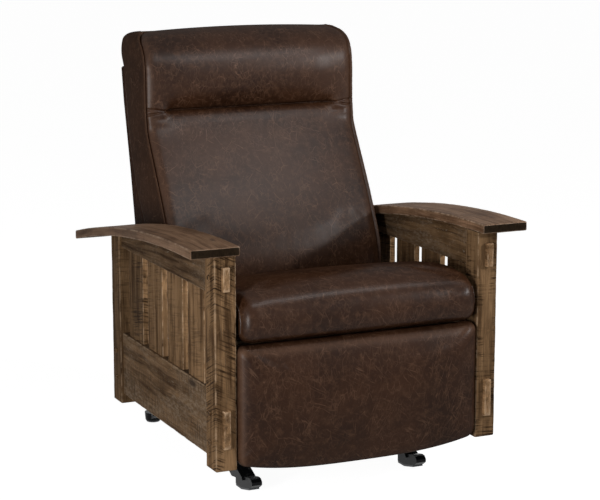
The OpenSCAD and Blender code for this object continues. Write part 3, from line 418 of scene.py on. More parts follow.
class Finish(Nodes):
    """A material made of nodes around its principled shader."""

    def __init__(self, name, rough=0.5, specular=0.5, metal=0.0, coat=0.0):
        self.material = bpy.data.materials.new(name)
        self.material.use_nodes = True
        super().__init__(self.material.node_tree)
        self.shader = self.tree.nodes["Principled BSDF"]
        for key, value in (("Roughness", rough), ("Specular IOR Level", specular),
                           ("Metallic", metal), ("Coat Weight", coat), ("Coat IOR", 2.3)):
            self.shader.inputs[key].default_value = value

    def place(self):
        """Object coordinates."""
        return self.add("TexCoord", {}, "Object")

    def field(self, name, output="Fac"):
        """A named value of the mesh."""
        return self.add("Attribute", {}, output, attribute_name=name)

    def stretch(self, vector, scale=(1, 1, 1), turn=(0, 0, 0), shift=(0, 0, 0)):
        """The vector scaled, then turned, then shifted."""
        return self.add("Mapping", {"Vector": vector, "Scale": scale, "Rotation": turn,
                                    "Location": shift})

    def parts(self, vector):
        """X, Y and Z of a vector."""
        return tuple(self.add("SeparateXYZ", {0: vector}).node.outputs)

    def noise(self, vector, scale, detail=3.0, rough=0.55, warp=0.0, output=0, **moves):
        """Noise at one scale, or at a scale for each axis with the vector turned or shifted."""
        if isinstance(scale, tuple):
            vector, scale = self.stretch(vector, scale, **moves), 1.0
        return self.add("TexNoise", {"Vector": vector, "Scale": scale, "Detail": detail,
                                     "Roughness": rough, "Distortion": warp}, output)

    def cells(self, vector, scale=1.0, feature="F1"):
        """Distance to the middle of the nearest of many random cells, or to its edge."""
        return self.add("TexVoronoi", {"Vector": vector, "Scale": scale}, "Distance",
                        feature=feature)

    def times(self, a, b):
        """The product of two values."""
        return self.sum("MULTIPLY", a, b)

    def drift(self, vector, away, by):
        """The vector moved by another one, scaled on each axis."""
        moved = self.add("VectorMath", {0: away, 1: by}, operation="MULTIPLY")
        return self.add("VectorMath", {0: vector, 1: moved}, operation="ADD")

    def span(self, value, low, high, to_low=0.0, to_high=1.0):
        """A smooth step of the value between two limits."""
        return self.add("MapRange", {"Value": value, "From Min": low, "From Max": high,
                                     "To Min": to_low, "To Max": to_high},
                        interpolation_type="SMOOTHSTEP")

    def mix(self, share, a, b):
        """The first colour, with a share of the second."""
        a, b = (x if isinstance(x, bpy.types.NodeSocket) else (*x[:3], 1.0) for x in (a, b))
        return self.add("Mix", {"Factor": share, 6: a, 7: b}, 2, data_type="RGBA",
                        clamp_factor=True)

    def bump(self, height, depth, strength=1.0, under=None):
        """A normal from a height in metres, on top of another normal."""
        below = {"Normal": under} if under else {}
        return self.add("Bump", {"Height": height, "Distance": depth, "Strength": strength} | below)

    def end(self, **sockets):
        """Joins results to the shader's own sockets, named with spaces as underscores."""
        for key, value in sockets.items():
            self.tree.links.new(value, self.shader.inputs[key.replace("_", " ")])
        return self.material


GREY_DARK, GREY_LIGHT, SCRATCH = (0.046, 0.034, 0.024), (0.21, 0.180, 0.145), (0.30, 0.25, 0.19)
KNOT, RUBBED = (0.014, 0.008, 0.005), (0.5, 0.4, 0.3)


def reclaimed(name, dark, mid, light, end, coat):
    """Old sawn wood: streaks and fibres along the grain, saw marks across it, knots and grey age.

    The values make (tone, saw, slant), aged, worn (on boards only rubbed arrises) and cut of a
    board say how much of each it has.
    """
    f = Finish(name, rough=0.66, specular=0.03, coat=coat)
    f.shader.inputs["Coat Roughness"].default_value = 0.42
    grain = f.field("grain", "Vector")
    tone, saw, slant = f.parts(f.field("make", "Vector"))
    along, across, depth = f.parts(grain)
    warped = f.drift(grain, f.noise(grain, (4, 8, 8), 2, output=1), (0.0, 0.030, 0.030))
    streak = f.noise(warped, (2.6, 70, 70), 4, 0.62)
    fibre = f.noise(warped, (16, 420, 420), 3, 0.6)
    patch = f.noise(grain, (5, 11, 11), 3)
    fleck = f.noise(grain, (60, 130, 130), 4, 0.7, shift=(2, 5, 1))
    tilt = f.sum("MULTIPLY_ADD", f.sum("ADD", across, depth), slant, along)
    sheared = f.add("CombineXYZ", {0: tilt, 1: across, 2: depth})
    teeth = f.noise(sheared, (210, 15, 15), 2.2, 0.6, warp=0.3)
    mask = f.span(f.noise(grain, (6, 16, 16), 3, 0.6, shift=(3, 1, 5)), 0.36, 0.60)
    marks = f.times(f.span(teeth, 0.47, 0.66), f.times(mask, saw))
    cells = f.cells(f.stretch(warped, (4.5, 13, 13)))
    knot = f.times(f.span(cells, 0.17, 0.05), f.span(patch, 0.46, 0.56))
    base = f.mix(f.span(streak, 0.34, 0.66), dark, light)
    base = f.mix(0.36, base, mid)
    base = f.mix(f.span(patch, 0.42, 0.66, 0.0, 0.55), base, light)
    base = f.mix(f.span(patch, 0.46, 0.30, 0.0, 0.45), base, dark)
    base = f.mix(f.span(fibre, 0.35, 0.72, 0.34, 0.0), base, dark)
    base = f.mix(f.span(fleck, 0.56, 0.74, 0.0, 0.35), base, light)
    age = f.field("aged")
    grey = f.mix(f.span(fleck, 0.40, 0.66), GREY_DARK, GREY_LIGHT)
    base = f.mix(f.times(age, f.span(patch, 0.34, 0.62)), base, grey)
    scratch = f.noise(warped, (30, 160, 160), 4, 0.75, warp=1.2, turn=(0.2, 0.5, 0.6))
    scratched = f.times(f.span(scratch, 0.60, 0.68), f.sum("MULTIPLY_ADD", age, 0.9, 0.10))
    base = f.mix(scratched, base, SCRATCH)
    base = f.mix(f.times(marks, 0.78), base, dark)
    base = f.mix(f.times(knot, 0.8), base, KNOT)
    rubbed = f.times(f.field("worn"), f.span(f.noise(grain, 45, 3), 0.36, 0.60))
    base = f.mix(f.times(rubbed, 0.75), base, f.mix(0.35, light, RUBBED))
    rings = f.noise(grain, (1, 260, 90), 3, 0.6)
    end_colour = f.mix(f.span(rings, 0.35, 0.7), tuple(c * 0.5 for c in end), end)
    base = f.mix(f.field("cut"), base, end_colour)
    lit = f.add("VectorMath", {0: base, 3: f.sum("ADD", tone, 1.0)}, operation="SCALE")
    height = f.sum("SUBTRACT", f.sum("MULTIPLY_ADD", fibre, 0.35, f.times(streak, 0.5)),
                   f.sum("MULTIPLY_ADD", knot, 0.4, f.times(marks, 0.8)))
    return f.end(Base_Color=lit, Normal=f.bump(height, 0.0010, 0.9),
                 Roughness=f.span(streak, 0.3, 0.7, 0.76, 0.60))


# Crackle: scale, turn, width, shift and strength. Scratches: turn and shift.
CRACKLE = ((17.0, (0.0, 0.8, 0.1), 0.014, (1.7, 0.3, 2.2), 0.42),
           (42.0, (0.2, -0.5, 0.1), 0.034, (5.1, 2.3, 0.2), 0.36),
           (95.0, (0.1, 0.7, 0.3), 0.070, (3.3, 6.1, 4.2), 0.30))
SCRATCHES = (((0.0, 0.70, 0.0), (2.2, 4.1, 0.3)), ((0.0, -0.45, 0.0), (6.1, 0.7, 3.9)),
             ((0.0, 1.15, 0.0), (8.4, 3.3, 5.2)))


def leather(name, look, gloss, veins=1.0, dull=0.36, scratched=0.16):
    """Pull-up leather: clouds of brown, pale crackle lines, long scratches, a pebbled grain, and
    pale bands that are partly rubbed wear and partly painted highlight.
    """
    f = Finish(name, rough=0.5, specular=0.0, coat=gloss)
    f.shader.inputs["Coat Roughness"].default_value = dull
    at = f.place()
    bent = f.drift(at, f.noise(at, 42.0, 3, 0.6, output=1), (0.008, 0.008, 0.008))
    base = f.mix(f.span(f.noise(at, 6.5, 5, 0.62), 0.26, 0.66), look.dark, look.mid)
    base = f.mix(f.span(f.noise(at, 60.0, 5, 0.7), 0.46, 0.70, 0.0, 0.75), base, look.light)
    lines = 0.0
    for scale, turn, width, shift, strength in CRACKLE:
        edge = f.cells(f.stretch(bent, (scale, scale, scale * 0.40), turn, shift),
                       feature="DISTANCE_TO_EDGE")
        there = f.span(f.noise(f.stretch(at, shift=shift), 24.0, 4, 0.7), 0.46, 0.66)
        found = f.times(f.times(f.span(edge, width, width * 0.1), there), strength * veins)
        lines = f.sum("MAXIMUM", found, lines)
    for turn, shift in SCRATCHES:
        long = f.noise(f.stretch(bent, turn=turn), (55, 14, 4.5), 1.5, 0.5, shift=shift)
        ridge = f.sum("ABSOLUTE", f.sum("SUBTRACT", long, 0.5))
        there = f.span(f.noise(f.stretch(at, shift=shift), 14.0, 3, 0.6), 0.50, 0.64)
        found = f.times(f.span(ridge, 0.013, 0.002), f.times(there, scratched))
        lines = f.sum("MAXIMUM", found, lines)
    base = f.mix(lines, base, look.vein_and_highlight)
    # Pale bands where the mesh value is high: rubbed wear, and painted highlight along the
    # cushions' seams and edges.
    base = f.mix(f.times(f.field("worn"), 0.55), base, look.vein_and_highlight)
    pores = f.times(f.noise(at, 260.0, 3, 0.6), 0.6)
    fine = f.bump(f.sum("ADD", f.times(f.cells(at, 620.0), 0.5), pores), 0.00035, 0.5)
    soft = f.bump(f.noise(at, 16.0, 3, 0.5), 0.0022, 0.35, fine)
    return f.end(Base_Color=base, Normal=soft, Coat_Normal=soft)


def steel(name, rgb, rough, metal, specular=0.5):
    """Painted or bare steel: a fine uneven coat with small scuffs that are duller and paler."""
    f = Finish(name, rough=rough, specular=specular, metal=metal)
    at = f.place()
    scuff = f.span(f.noise(at, 70, 5, 0.7), 0.58, 0.72)
    base = f.mix(f.times(scuff, 0.35), rgb, tuple(min(1, 0.12 + c * 1.6) for c in rgb))
    return f.end(Base_Color=base, Normal=f.bump(f.noise(at, 900, 2), 0.00008, 0.5),
                 Roughness=f.sum("MULTIPLY_ADD", scuff, 0.18, rough))


def plain_wood(name, rgb):
    """Planed frame wood: growth lines along Y, a little darker and lighter."""
    f = Finish(name, rough=0.6, specular=0.3)
    lines = f.noise(f.place(), (60, 4, 60), 4, 0.6, warp=0.4)
    base = f.mix(f.span(lines, 0.3, 0.7), tuple(c * 0.62 for c in rgb), rgb)
    return f.end(Base_Color=base, Normal=f.bump(lines, 0.0004, 0.4))


def webbing(name):
    """Jute strap: two sets of fine waves crossed as a weave, straw brown."""
    f = Finish(name, rough=0.85, specular=0.1)
    x, _, z = f.parts(f.place())
    weave = f.times(f.sum("SINE", f.times(x, 1800.0)), f.sum("SINE", f.times(z, 1800.0)))
    base = f.mix(f.span(weave, -1, 1), (0.10, 0.075, 0.04), (0.34, 0.26, 0.15))
    return f.end(Base_Color=base, Normal=f.bump(weave, 0.0005, 0.7))


# Boards, with sizes that the frame's boxes don't give

FIT = 0.0003  # gap left under an arm
PEG, PEG_ARRIS, PEG_STEP = 0.0055, 0.0016, 0.073  # half a peg's width, its arris, pegs' distance
TENON, TENON_ARRIS = 0.0195, 0.0028  # width and arris of a tenon's end
LOWER_ENDS, UPPER_ENDS = ((0.169, 0.266),) * 2, ((0.559, 0.621), (0.549, 0.563))  # their heights
SLAT, SLAT_ARRIS, SLAT_OVER = 0.103, 0.002, 0.0012  # a slat's width, arris and swell on each side
SKIN = 0.0006  # points this near a face belong to it


def bow(wood, y, drop=0.0):
    """Height of an arm's top at y, by the circle of the bow, less a drop measured square to it."""
    r = wood.bow_radius
    return wood.bow_top - r + np.sqrt((r - drop) ** 2 - (np.asarray(y) - wood.bow_peak) ** 2)


def reach(low, high):
    """Distances of a box's inner and outer face from the middle of the chair."""
    return sorted((abs(low[0]), abs(high[0])))


def put_boards(name, boards, finish, node):
    """Boards of the frame as one object in the place of a node."""
    put(name, joined(boards), finish, "frame", [node])


class RECLINER_OT_boards(bpy.types.Operator):
    """Reclaimed posts, rails with their tenons, slats, pegs and arms"""
    bl_idname = "recliner.boards"
    bl_label = "Boards"

    def execute(self, context):
        wood = context.scene.recliner_wood
        old = reclaimed("reclaimed wood", wood.dark, wood.mid, wood.light, (0.05, 0.03, 0.018), 0.0)
        colours = wood.arm_dark, wood.arm_mid, wood.arm_light, (0.014, 0.0085, 0.0042)
        arm_wood = reclaimed("arm wood", *colours, 0.05), reclaimed("arm end wood", *colours, 0.0)
        arm = np.array([point.co for point in NODES["left_arm"].data.vertices])
        front = arm[arm[:, 1] < arm[:, 1].min() + 1e-5, 2]  # heights on its front end face
        thick = float(np.ptp(front))

        def under(y):
            return bow(wood, y, thick) - FIT

        for side, word, seed in ((-1, "left", 100), (1, "right", 200)):
            self.posts(wood, old, side, word, seed, under)
            self.pegs(old, side, word, seed)
            self.rails(wood, old, side, word, seed, under)
            self.slats(old, side, word, seed)
            self.arm(wood, arm_wood, side, word, seed, thick)
        low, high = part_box("rear_cross_rail")
        put_boards("rear_cross_board", [board(low, high, 0, 61, wood.arris, tone=-0.1)], old,
                   "rear_cross_rail")
        return {"FINISHED"}

    def posts(self, wood, old, side, word, seed, under):
        """Both posts of a side, cut off at the top under the arm."""
        tone, slant = (0.04, 0.5) if side < 0 else (-0.08, 0.05)
        for end, shift, tone, saw, slant in (("front", -1, tone, 1.3, slant),
                                             ("rear", 1, -0.25, 0.6, 0.1)):
            node = f"{word}_{end}_post"
            low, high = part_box(node)
            shape = board(low, high, 2, seed + shift, wood.arris, tone, saw, slant, top=under)
            put_boards(f"{node}_board", [shape], old, node)

    def pegs(self, old, side, word, seed):
        """Heads of the pegs: three on the front post's outer face and two on the rear post's."""
        low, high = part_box(f"{word}_pegs")
        front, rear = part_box(f"{word}_front_post"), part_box(f"{word}_rear_post")
        face, out = reach(*front)[1] - 0.0005, reach(low, high)[1]
        middles = [(post[0][1] + post[1][1]) / 2 for post in (front, rear)]
        heights = [low[2] + PEG, low[2] + PEG + PEG_STEP]
        spots = [(middles[0], z) for z in heights + [high[2] - PEG]]
        spots += [(middles[1], z) for z in heights]
        heads = [board((face, y - PEG, z - PEG), (out, y + PEG, z + PEG), 0, seed + 40 + k,
                       PEG_ARRIS, tone=-0.1, saw=0.2, side=side)
                 for k, (y, z) in enumerate(spots)]
        put_boards(f"{word}_peg_heads", heads, old, f"{word}_pegs")

    def rails(self, wood, old, side, word, seed, under):
        """Both rails of a side between the posts, and the ends of their tenons beyond the posts."""
        front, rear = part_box(f"{word}_front_post"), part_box(f"{word}_rear_post")
        y0, y1 = front[1][1] + 0.0002, rear[0][1] - 0.0002
        # The upper rails are darker: partly a darker board, partly painted shade under the arm.
        for name, base, tone, saw, heights, top in (
                ("lower", 10, -0.02, 0.8, LOWER_ENDS, None),
                ("upper", 20, -0.28, 0.25, UPPER_ENDS, under)):
            node = f"{word}_{name}_rail"
            low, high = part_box(node)
            x0, x1 = reach(low, high)
            # Rails on the right side are lighter: painted light on their inner faces.
            shapes = [board((x0, y0, low[2]), (x1, y1, high[2]), 1, seed + base, wood.arris,
                            tone + 0.30 * (side > 0), saw, 0.05, aged=0.42, top=top, side=side)]
            ends = ((low[1], front[0][1] + 0.001), (rear[1][1] - 0.001, high[1]))
            for k, ((a, b), (z0, z1)) in enumerate(zip(ends, heights)):
                shapes.append(board((x0, a, z0), (x0 + TENON, b, z1), 1, seed + base + 3 + k,
                                    TENON_ARRIS, tone=0.60, saw=0.0, cut=0.25, side=side))
            put_boards(f"{node}_boards", shapes, old, node)

    def slats(self, old, side, word, seed):
        """Four slats between the rails, each with a painted highlight: a paler edge towards the
        front, where light from the front falls.
        """
        low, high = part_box(f"{word}_slats")
        x0, x1 = reach(low, high)
        pitch = (high[1] - low[1] - SLAT) / 3
        slats = []
        for k, (tone, saw) in enumerate(((0.10, 0.6), (0.05, 0.4), (0.0, 0.6), (-0.25, 1.2))):
            start = low[1] + k * pitch - SLAT_OVER
            end = start + SLAT + 2 * SLAT_OVER
            # Slats on the right side are lighter: painted light on their inner faces.
            slat = board((x0, start, low[2]), (x1, end, high[2]), 2, seed + 50 + k, SLAT_ARRIS,
                         tone + 0.40 * (side > 0), saw, slant=0.2, side=side)
            # Painted highlight: the front edge of each slat made paler.
            slat["values"]["make"][slat["points"][:, 1] < start + SKIN, 0] += 0.65
            slats.append(slat)
        put_boards(f"{word}_slat_boards", slats, old, f"{word}_slats")

    def arm(self, wood, finish, side, word, seed, thick):
        """An arm: a straight board lifted to the circle of the bow, the right one paler on its
        inner face as painted light.
        """
        low, high = map(Vector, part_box(f"{word}_arm"))
        low.z, high.z = wood.bow_top - thick, wood.bow_top
        shape = board(low, high, 1, seed + 80, wood.arris, saw=0.25, slant=0.1, cut=0.97)
        p = shape["points"]
        p[:, 2] += bow(wood, p[:, 1]) - wood.bow_top
        # Painted light: the right arm's inner face made paler.
        if side > 0:
            shape["values"]["make"][p[:, 0] < low.x + SKIN, 0] += 0.7
        put(f"{word}_arm_board", shape, finish[0], "frame", [f"{word}_arm"],
            (finish[1], "cut"))


# Cushions

PIN = 0.12215  # Y of the recline pins
BACK_Z, BACK_H, BACK_D, BACK_HALF = 0.440, 0.674, 0.324, 0.306
SEAT_Y, SEAT_Z, SEAT_RUN, SEAT_HALF = -0.44685, 0.4223, 0.506, 0.3215
SEAT_T, SEAT_BACK_T, SEAT_CROWN = 0.136, 0.060, 0.009  # thick in front and behind, fall of the top
PAD_Y, PAD_Z, PAD_TOP, PAD_HALF, PAD_T, PAD_SMILE = -0.39315, 0.093, 0.419, 0.328, 0.067, 0.028

# The back's side view, in shares of its height and depth: the front in the middle and at the
# seams, and the rear seam. The crease under the head roll lies at one of the heights.
CREASE = 0.6945
HEIGHTS = (0, 0.03, 0.07, 0.135, 0.19, 0.255, 0.375, 0.495, 0.605, 0.655, 0.680, 0.6905, CREASE,
           0.6985, 0.708, 0.735, 0.785, 0.84, 0.903)
LOW_FRONT = (-0.124, -0.167, -0.174, -0.154, -0.114, -0.049, 0.086, 0.235, 0.368)
FACE = [*zip(LOW_FRONT + (0.423, 0.450, 0.486, 0.500, 0.474, 0.441, 0.409, 0.384, 0.377, 0.402),
             HEIGHTS), (0.458, 0.948), (0.570, 0.983), (0.710, 1)]
EDGE = [*zip(LOW_FRONT + (0.394, 0.400, 0.404, 0.405, 0.406, 0.407, 0.408, 0.410, 0.411, 0.430),
             HEIGHTS), (0.486, 0.950), (0.598, 0.985), (0.710, 1)]
SEAM = [*zip((0.130, 0.247, 0.290, 0.367, 0.429, 0.503, 0.667, 0.781, 0.849, 0.872, 0.880, 0.884,
              0.885, 0.887, 0.890, 0.899, 0.917, 0.935, 1.000),
             HEIGHTS), (0.981, 0.953), (0.901, 0.986), (0.772, 1)]

# Width and fall of the back's rolled side edges, swell of its boxing, depth of the pleats beside
# the crease and their distance from it, half width of a seam's groove, depth of the puckers
ROLL, ROLL_FALL, SWELL, PLEAT, PLEAT_APART = 0.030, 0.016, 0.004, 0.0034, 0.0065
SEAM_WIDE, PUCKER, BOXING_PUCKER = 0.0022, 0.0007, 0.0005


def back_point(pairs):
    """Y and Z in the side view from shares of the back's depth and height."""
    pairs = np.asarray(pairs, float)
    return stack(PIN + pairs[:, 0] * BACK_D, BACK_Z + pairs[:, 1] * BACK_H)


def back_skin(look):
    """The back as rings from its lower edge to the top of the head roll, and its seams' lines.

    Each ring runs over the front panel, whose side edges roll back to the seams, along the boxing
    to the rear seam and across behind. The crease fades out before it meets the side seams.
    """
    face, edge, seam = (smooth_line(back_point(k)) for k in (FACE, EDGE, SEAM))
    level = BACK_Z + CREASE * BACK_H
    near = bell(face[:, 1] - level, 0.024)
    face, edge, seam = respace([face, edge, seam], face, 150, 1 + 2.5 * near)
    inward = beside(np.gradient(edge, axis=0))
    top = BACK_Z + BACK_H
    over = np.clip(edge[:, 1] - (top - look.corner), 0, look.corner)
    half = (BACK_HALF - look.corner + np.sqrt(look.corner**2 - over**2))[:, None]
    z = edge[:, 1:]
    share = np.linspace(-1, 1, 85)
    share = np.sign(share) * (1 - (1 - np.abs(share)) ** 1.6)
    x = half * share
    far = half - np.abs(x)
    roll = np.clip(1 - far / ROLL, 0, 1)
    fall = ROLL_FALL * (1 - np.sqrt(1 - roll**2))
    close = bell(z - level, 0.022)
    inner = close * ease((far - 0.050) / 0.030) + (1 - close) * ease(far / 0.12)
    fold = edge[:, None] + (face - edge)[:, None] * inner[..., None]
    apart = PLEAT_APART * (1 - ease((far - 0.012) / 0.05))
    pinch = PLEAT * bell(np.abs(z - level) - apart, 0.003) * (1 - ease((far - 0.055) / 0.03))
    pucker = PUCKER * ease(far / 0.004) * bell(far - 0.009, 0.009) * ripple(z + np.sign(x), 3, 330)
    groove = look.groove * bell(far, SEAM_WIDE)
    deep = fall + pinch + pucker + groove - look.crown * (1 - share**2)
    front = fold + inward[:, None] * deep[..., None]
    front = stack(x - np.sign(x) * groove, front[..., 0], front[..., 1])
    q = ((1 - np.cos(np.linspace(0, np.pi, 24)[1:])) / 2)[None, :, None]
    start = stack(half, edge[:, :1], z)
    end = stack(half, seam[:, :1], seam[:, 1:])
    right = start * (1 - q) + end * q
    past = np.linalg.norm(right - start, axis=2)
    back = np.linalg.norm(right - end, axis=2)
    sunk = look.groove * bell(past, SEAM_WIDE)
    right[..., 0] += SWELL * np.sin(np.pi * q[..., 0]) * ease((past + back) / 0.05) - sunk
    folds = BOXING_PUCKER * bell(past - 0.008, 0.008) * ripple(right[..., 2], 4, 300)
    right[..., 0] -= look.groove * bell(back, SEAM_WIDE) + folds
    right[..., 1:] += inward[:, None] * sunk[..., None]
    behind = half * np.linspace(1, -1, 44)[1:-1]
    rear = stack(behind, *(np.broadcast_to(seam[:, k:k + 1], behind.shape) for k in (0, 1)))
    left = right[:, ::-1] * [-1, 1, 1]
    rings = np.hstack([front, right, rear, left])
    cols, sides = front.shape[1], right.shape[1]
    worn, boxing, held = np.zeros((3, *rings.shape[:2]))
    # Pale bands along the seams, partly rubbed wear and partly painted highlight: on the front
    # panel's rolled side edges (stronger on the left), a thin line at the left seam, and on the
    # boxing a pale wash with a brighter line beside each seam.
    worn[:, :cols] = 0.42 * bell(far - 0.012, 0.009) * (0.6 + 0.4 * (x < 0))
    worn[:, :cols] += 0.7 * bell(far - 0.0035, 0.0016) * (x < 0)
    worn[:, cols:cols + sides] = 0.24 + 0.6 * bell(past - 0.0055, 0.0035)
    worn[:, -sides:] = worn[:, cols:cols + sides][:, ::-1]
    boxing[:, cols:] = 1
    held[:, [0, cols - 1]] = 1
    held[:, cols + sides - 1:-sides + 1] = 1
    crease = bell(face[:, 1:] - level, 0.006) * (inner > 0.5)
    held[:, :cols] = np.maximum(held[:, :cols], crease)
    held[:6] = held[-3:] = 1
    part = skin(rings, {"worn": worn, "held": held, "boxing": boxing})
    loops = [np.vstack([rings[:, a], rings[::-1, b]])
             for a, b in ((0, rings.shape[1] - sides), (cols - 1, cols + sides - 1))]
    return part, loops


def seat_skin():
    """The seat and its seams: a closed side profile carried across and drawn in near the ends.

    End panels close it with a slight swell. The top falls with the square of the distance from
    the middle.
    """
    t, back_t = SEAT_T, SEAT_BACK_T
    knots = np.array([(0.268, 0), (0.13, 0.002 * t), (0.054, 0.034 * t), (0.014, 0.14 * t),
                      (0, 0.37 * t), (0.008, 0.62 * t), (0.04, 0.82 * t), (0.1, 0.95 * t),
                      (0.19, t), (0.31, 0.985 * t), (0.5, 0.875 * t),
                      (0.78, 0.3 * t + 0.75 * back_t), (0.92, 1.067 * back_t),
                      (0.98, 0.867 * back_t), (1, 0.533 * back_t), (0.992, 0.2 * back_t),
                      (0.952, 0), (0.6, 0), (0.268, 0)])
    side = smooth_line(knots * [SEAT_RUN, 1] + [SEAT_Y, SEAT_Z])
    side = respace([side], side, 150)[0][:-1]
    inward = beside(np.roll(side, -1, 0) - np.roll(side, 1, 0))
    bend = np.radians(np.linspace(0, 78, 7))
    round_w, round_in = 0.032, 0.030
    ends_x = SEAT_HALF - round_w * (1 - np.sin(bend))
    ends_in = round_in * (1 - np.cos(bend))
    flat = np.linspace(round_w - SEAT_HALF, SEAT_HALF - round_w, 64)[1:-1]
    xs = np.hstack([-ends_x[::-1], flat, ends_x])
    ins = np.hstack([ends_in[::-1], 0 * flat, ends_in])
    crown = SEAT_CROWN * (xs / SEAT_HALF) ** 2
    lift = (side[:, 1] - SEAT_Z) / t
    body = side[None] + inward[None] * ins[:, None, None]
    body[..., 1] -= crown[:, None] * lift[None]
    rings = stack(np.broadcast_to(xs[:, None], body.shape[:2]), body[..., 0], body[..., 1])

    def panel(ring, sign):
        middle = ring.mean(0)
        share = np.array([0.93, 0.8, 0.62, 0.42, 0.2])[:, None, None]
        inner = middle + (ring - middle) * share
        inner[..., 0] = ring[0, 0] + sign * 0.0035 * (1 - share[..., 0] ** 2)
        return inner

    rings = np.vstack([panel(rings[0], -1)[::-1], rings, panel(rings[-1], 1)])
    worn, held = np.zeros((2, *rings.shape[:2]))
    held[:6] = held[-6:] = 1
    held[:, side[:, 1] < SEAT_Z + 0.004] = 1
    # Painted highlight, partly rubbed wear: a pale line along each end seam.
    worn[[5, -6]] = 0.5
    return skin(rings, {"worn": worn, "held": held}), [rings[5], rings[-6]]


def pad_skin():
    """The leg rest pad: its outline drawn in ring by ring from the board to the front's middle.

    The outline has straight sides, round corners and a lower edge that rises with the cube of
    the distance from the middle.
    """
    half, z1, r = PAD_HALF, PAD_TOP, 0.020
    mid = (PAD_Z + z1) / 2

    def low(x):
        return PAD_Z + PAD_SMILE * (np.abs(x) / half) ** 3

    turn = np.radians(np.linspace(0, 90, 10))
    upper = stack(half - r + r * np.sin(turn), z1 - r + r * np.cos(turn))
    lower_x = half - r + r * np.cos(turn)
    lower = stack(lower_x, low(lower_x) + r * (1 - np.sin(turn)))
    beside_z = np.linspace(z1 - r, low(half) + r, 42)[1:-1]
    under_x = np.linspace(half - r, 0, 46)[1:]
    right = np.vstack([stack(np.linspace(0, half - r, 46)[:-1], np.full(45, z1)), upper,
                       stack(np.full(40, half), beside_z), lower,
                       stack(under_x, low(under_x))])
    ring = np.vstack([right, (right[1:-1] * [-1, 1])[::-1]])
    steps = smooth_line([(0, 5), (0.03, 1.6), (0.08, 0.4), (0.16, 0), (0.32, 0.2), (0.45, 2.5),
                         (0.57, 8.5), (0.67, 17), (0.75, 29), (0.83, 49), (0.90, 76), (0.96, 108),
                         (0.99, 135), (1, 156)], 12)
    steps = respace([steps], steps * [67, 1], 52)[0]
    share, inset = steps[:, 0], steps[:, 1] / 1000
    x = ring[None, :, 0] * (1 - inset / half)[:, None]
    z = mid + (ring[None, :, 1] - mid) * (1 - inset / (mid - PAD_Z))[:, None]
    y = np.broadcast_to((PAD_Y - share * PAD_T)[:, None], x.shape)
    held = np.zeros(x.shape)
    held[:12] = 1
    # Painted highlight, partly rubbed wear: a pale band on the rounded left edge, fainter on the
    # right, and one just under the top edge where light from above falls.
    sides = 0.80 * ease((0.024 - x - half) / 0.012) + 0.16 * ease((0.024 + x - half) / 0.012)
    worn = sides * bell(inset - 0.006, 0.007)[:, None] + 0.50 * bell(z - z1 + 0.015, 0.009)
    return skin(stack(x, y, z), {"worn": worn, "held": held})


def cover_skin():
    """The outside back: level rings with round corners, from the rear seam to the outer line."""
    outer = back_point([(0.664, -0.056), (0.735, 0.08), (0.765, 0.226), (0.852, 0.432),
                        (0.932, 0.592), (0.994, 0.712), (1.043, 0.8516)])
    seam = smooth_line(back_point([(0.05, -0.1)] + SEAM[:19]))
    start = back_point([(0.284, -0.056)])[0, 0]
    lip, r, lip_turn = 0.006, 0.016, np.radians([25, 50, 70, 90])
    top = outer[-1, 1] - lip
    z = np.hstack([np.linspace(outer[0, 1], top, 74), top + lip * np.sin(lip_turn)])
    draw = np.hstack([np.zeros(74), lip * (1 - np.cos(lip_turn))])
    back = np.interp(z, outer[:, 1], outer[:, 0]) - draw
    front = np.maximum(np.interp(z, seam[:, 1], seam[:, 0]), start) + 0.0003
    half = BACK_HALF - draw
    quarter = np.radians(np.linspace(0, 90, 7))
    depth = np.linspace(0, 1, 14)[:-1]
    share = np.linspace(1, -1, 60)[1:-1]

    def wide(values, count):
        return np.broadcast_to(values[:, None], (len(z), count))

    inner = (half - r)[:, None]
    right = stack(wide(half, 13), front[:, None] + (back - r - front)[:, None] * depth,
                  wide(z, 13))
    turn = stack(inner + r * np.cos(quarter), (back - r)[:, None] + r * np.sin(quarter),
                 wide(z, 7))
    across = stack(inner * share, wide(back, 58) + 0.003 * (1 - share**2) - 0.003, wide(z, 58))
    left = np.hstack([right, turn])[:, ::-1] * [-1, 1, 1]
    face = stack(half[:, None] * -share, wide(front, 58), wide(z, 58))
    rings = np.hstack([right, turn, across, left, face])
    return skin(rings, {"worn": np.zeros(rings.shape[:2])})


class RECLINER_OT_cushions(bpy.types.Operator):
    """Leather back with head roll, seat cushion, leg rest pad and outside back, with their welts"""
    bl_idname = "recliner.cushions"
    bl_label = "Cushions"

    def execute(self, context):
        look, slot = context.scene.recliner_leather, "brown_leather"
        hide = leather("brown leather", look, 0.092, 1.45)
        side_hide = leather("boxing leather", look, 0.035, 1.6)
        seat_hide = leather("seat leather", look, 0.072, 1.1, 0.31, 0.30)
        pad_hide = leather("pad leather", look, 0.057, 1.1, scratched=0.45)
        welt = leather("welt leather", look, 0.30, 0.3, 0.28, 0.0)
        back, seams = back_skin(look)
        back = stuffed(back, 2.5, 0.0022)
        put("back_leather", back, hide, "backrest", ["back_cushion"],
                      (side_hide, "boxing"))
        put("back_welts", joined([tube(line, look.seam) for line in seams]), welt, "backrest")
        seat, ends = seat_skin()
        seat = stuffed(seat, 2.5, 0.004)
        put("seat_leather", seat, seat_hide, "seat", ["seat_cushion"])
        welts = joined([tube(line, look.seam * 0.9, closed=True) for line in ends])
        put("seat_welts", welts, welt, "seat")
        pad = stuffed(pad_skin(), 2.0, 0.004)
        put("leg_rest_leather", pad, pad_hide, "leg_rest", ["leg_rest_pad"])
        put("outside_back_leather", cover_skin(), side_hide, "backrest", ["outside_back"])
        return {"FINISHED"}


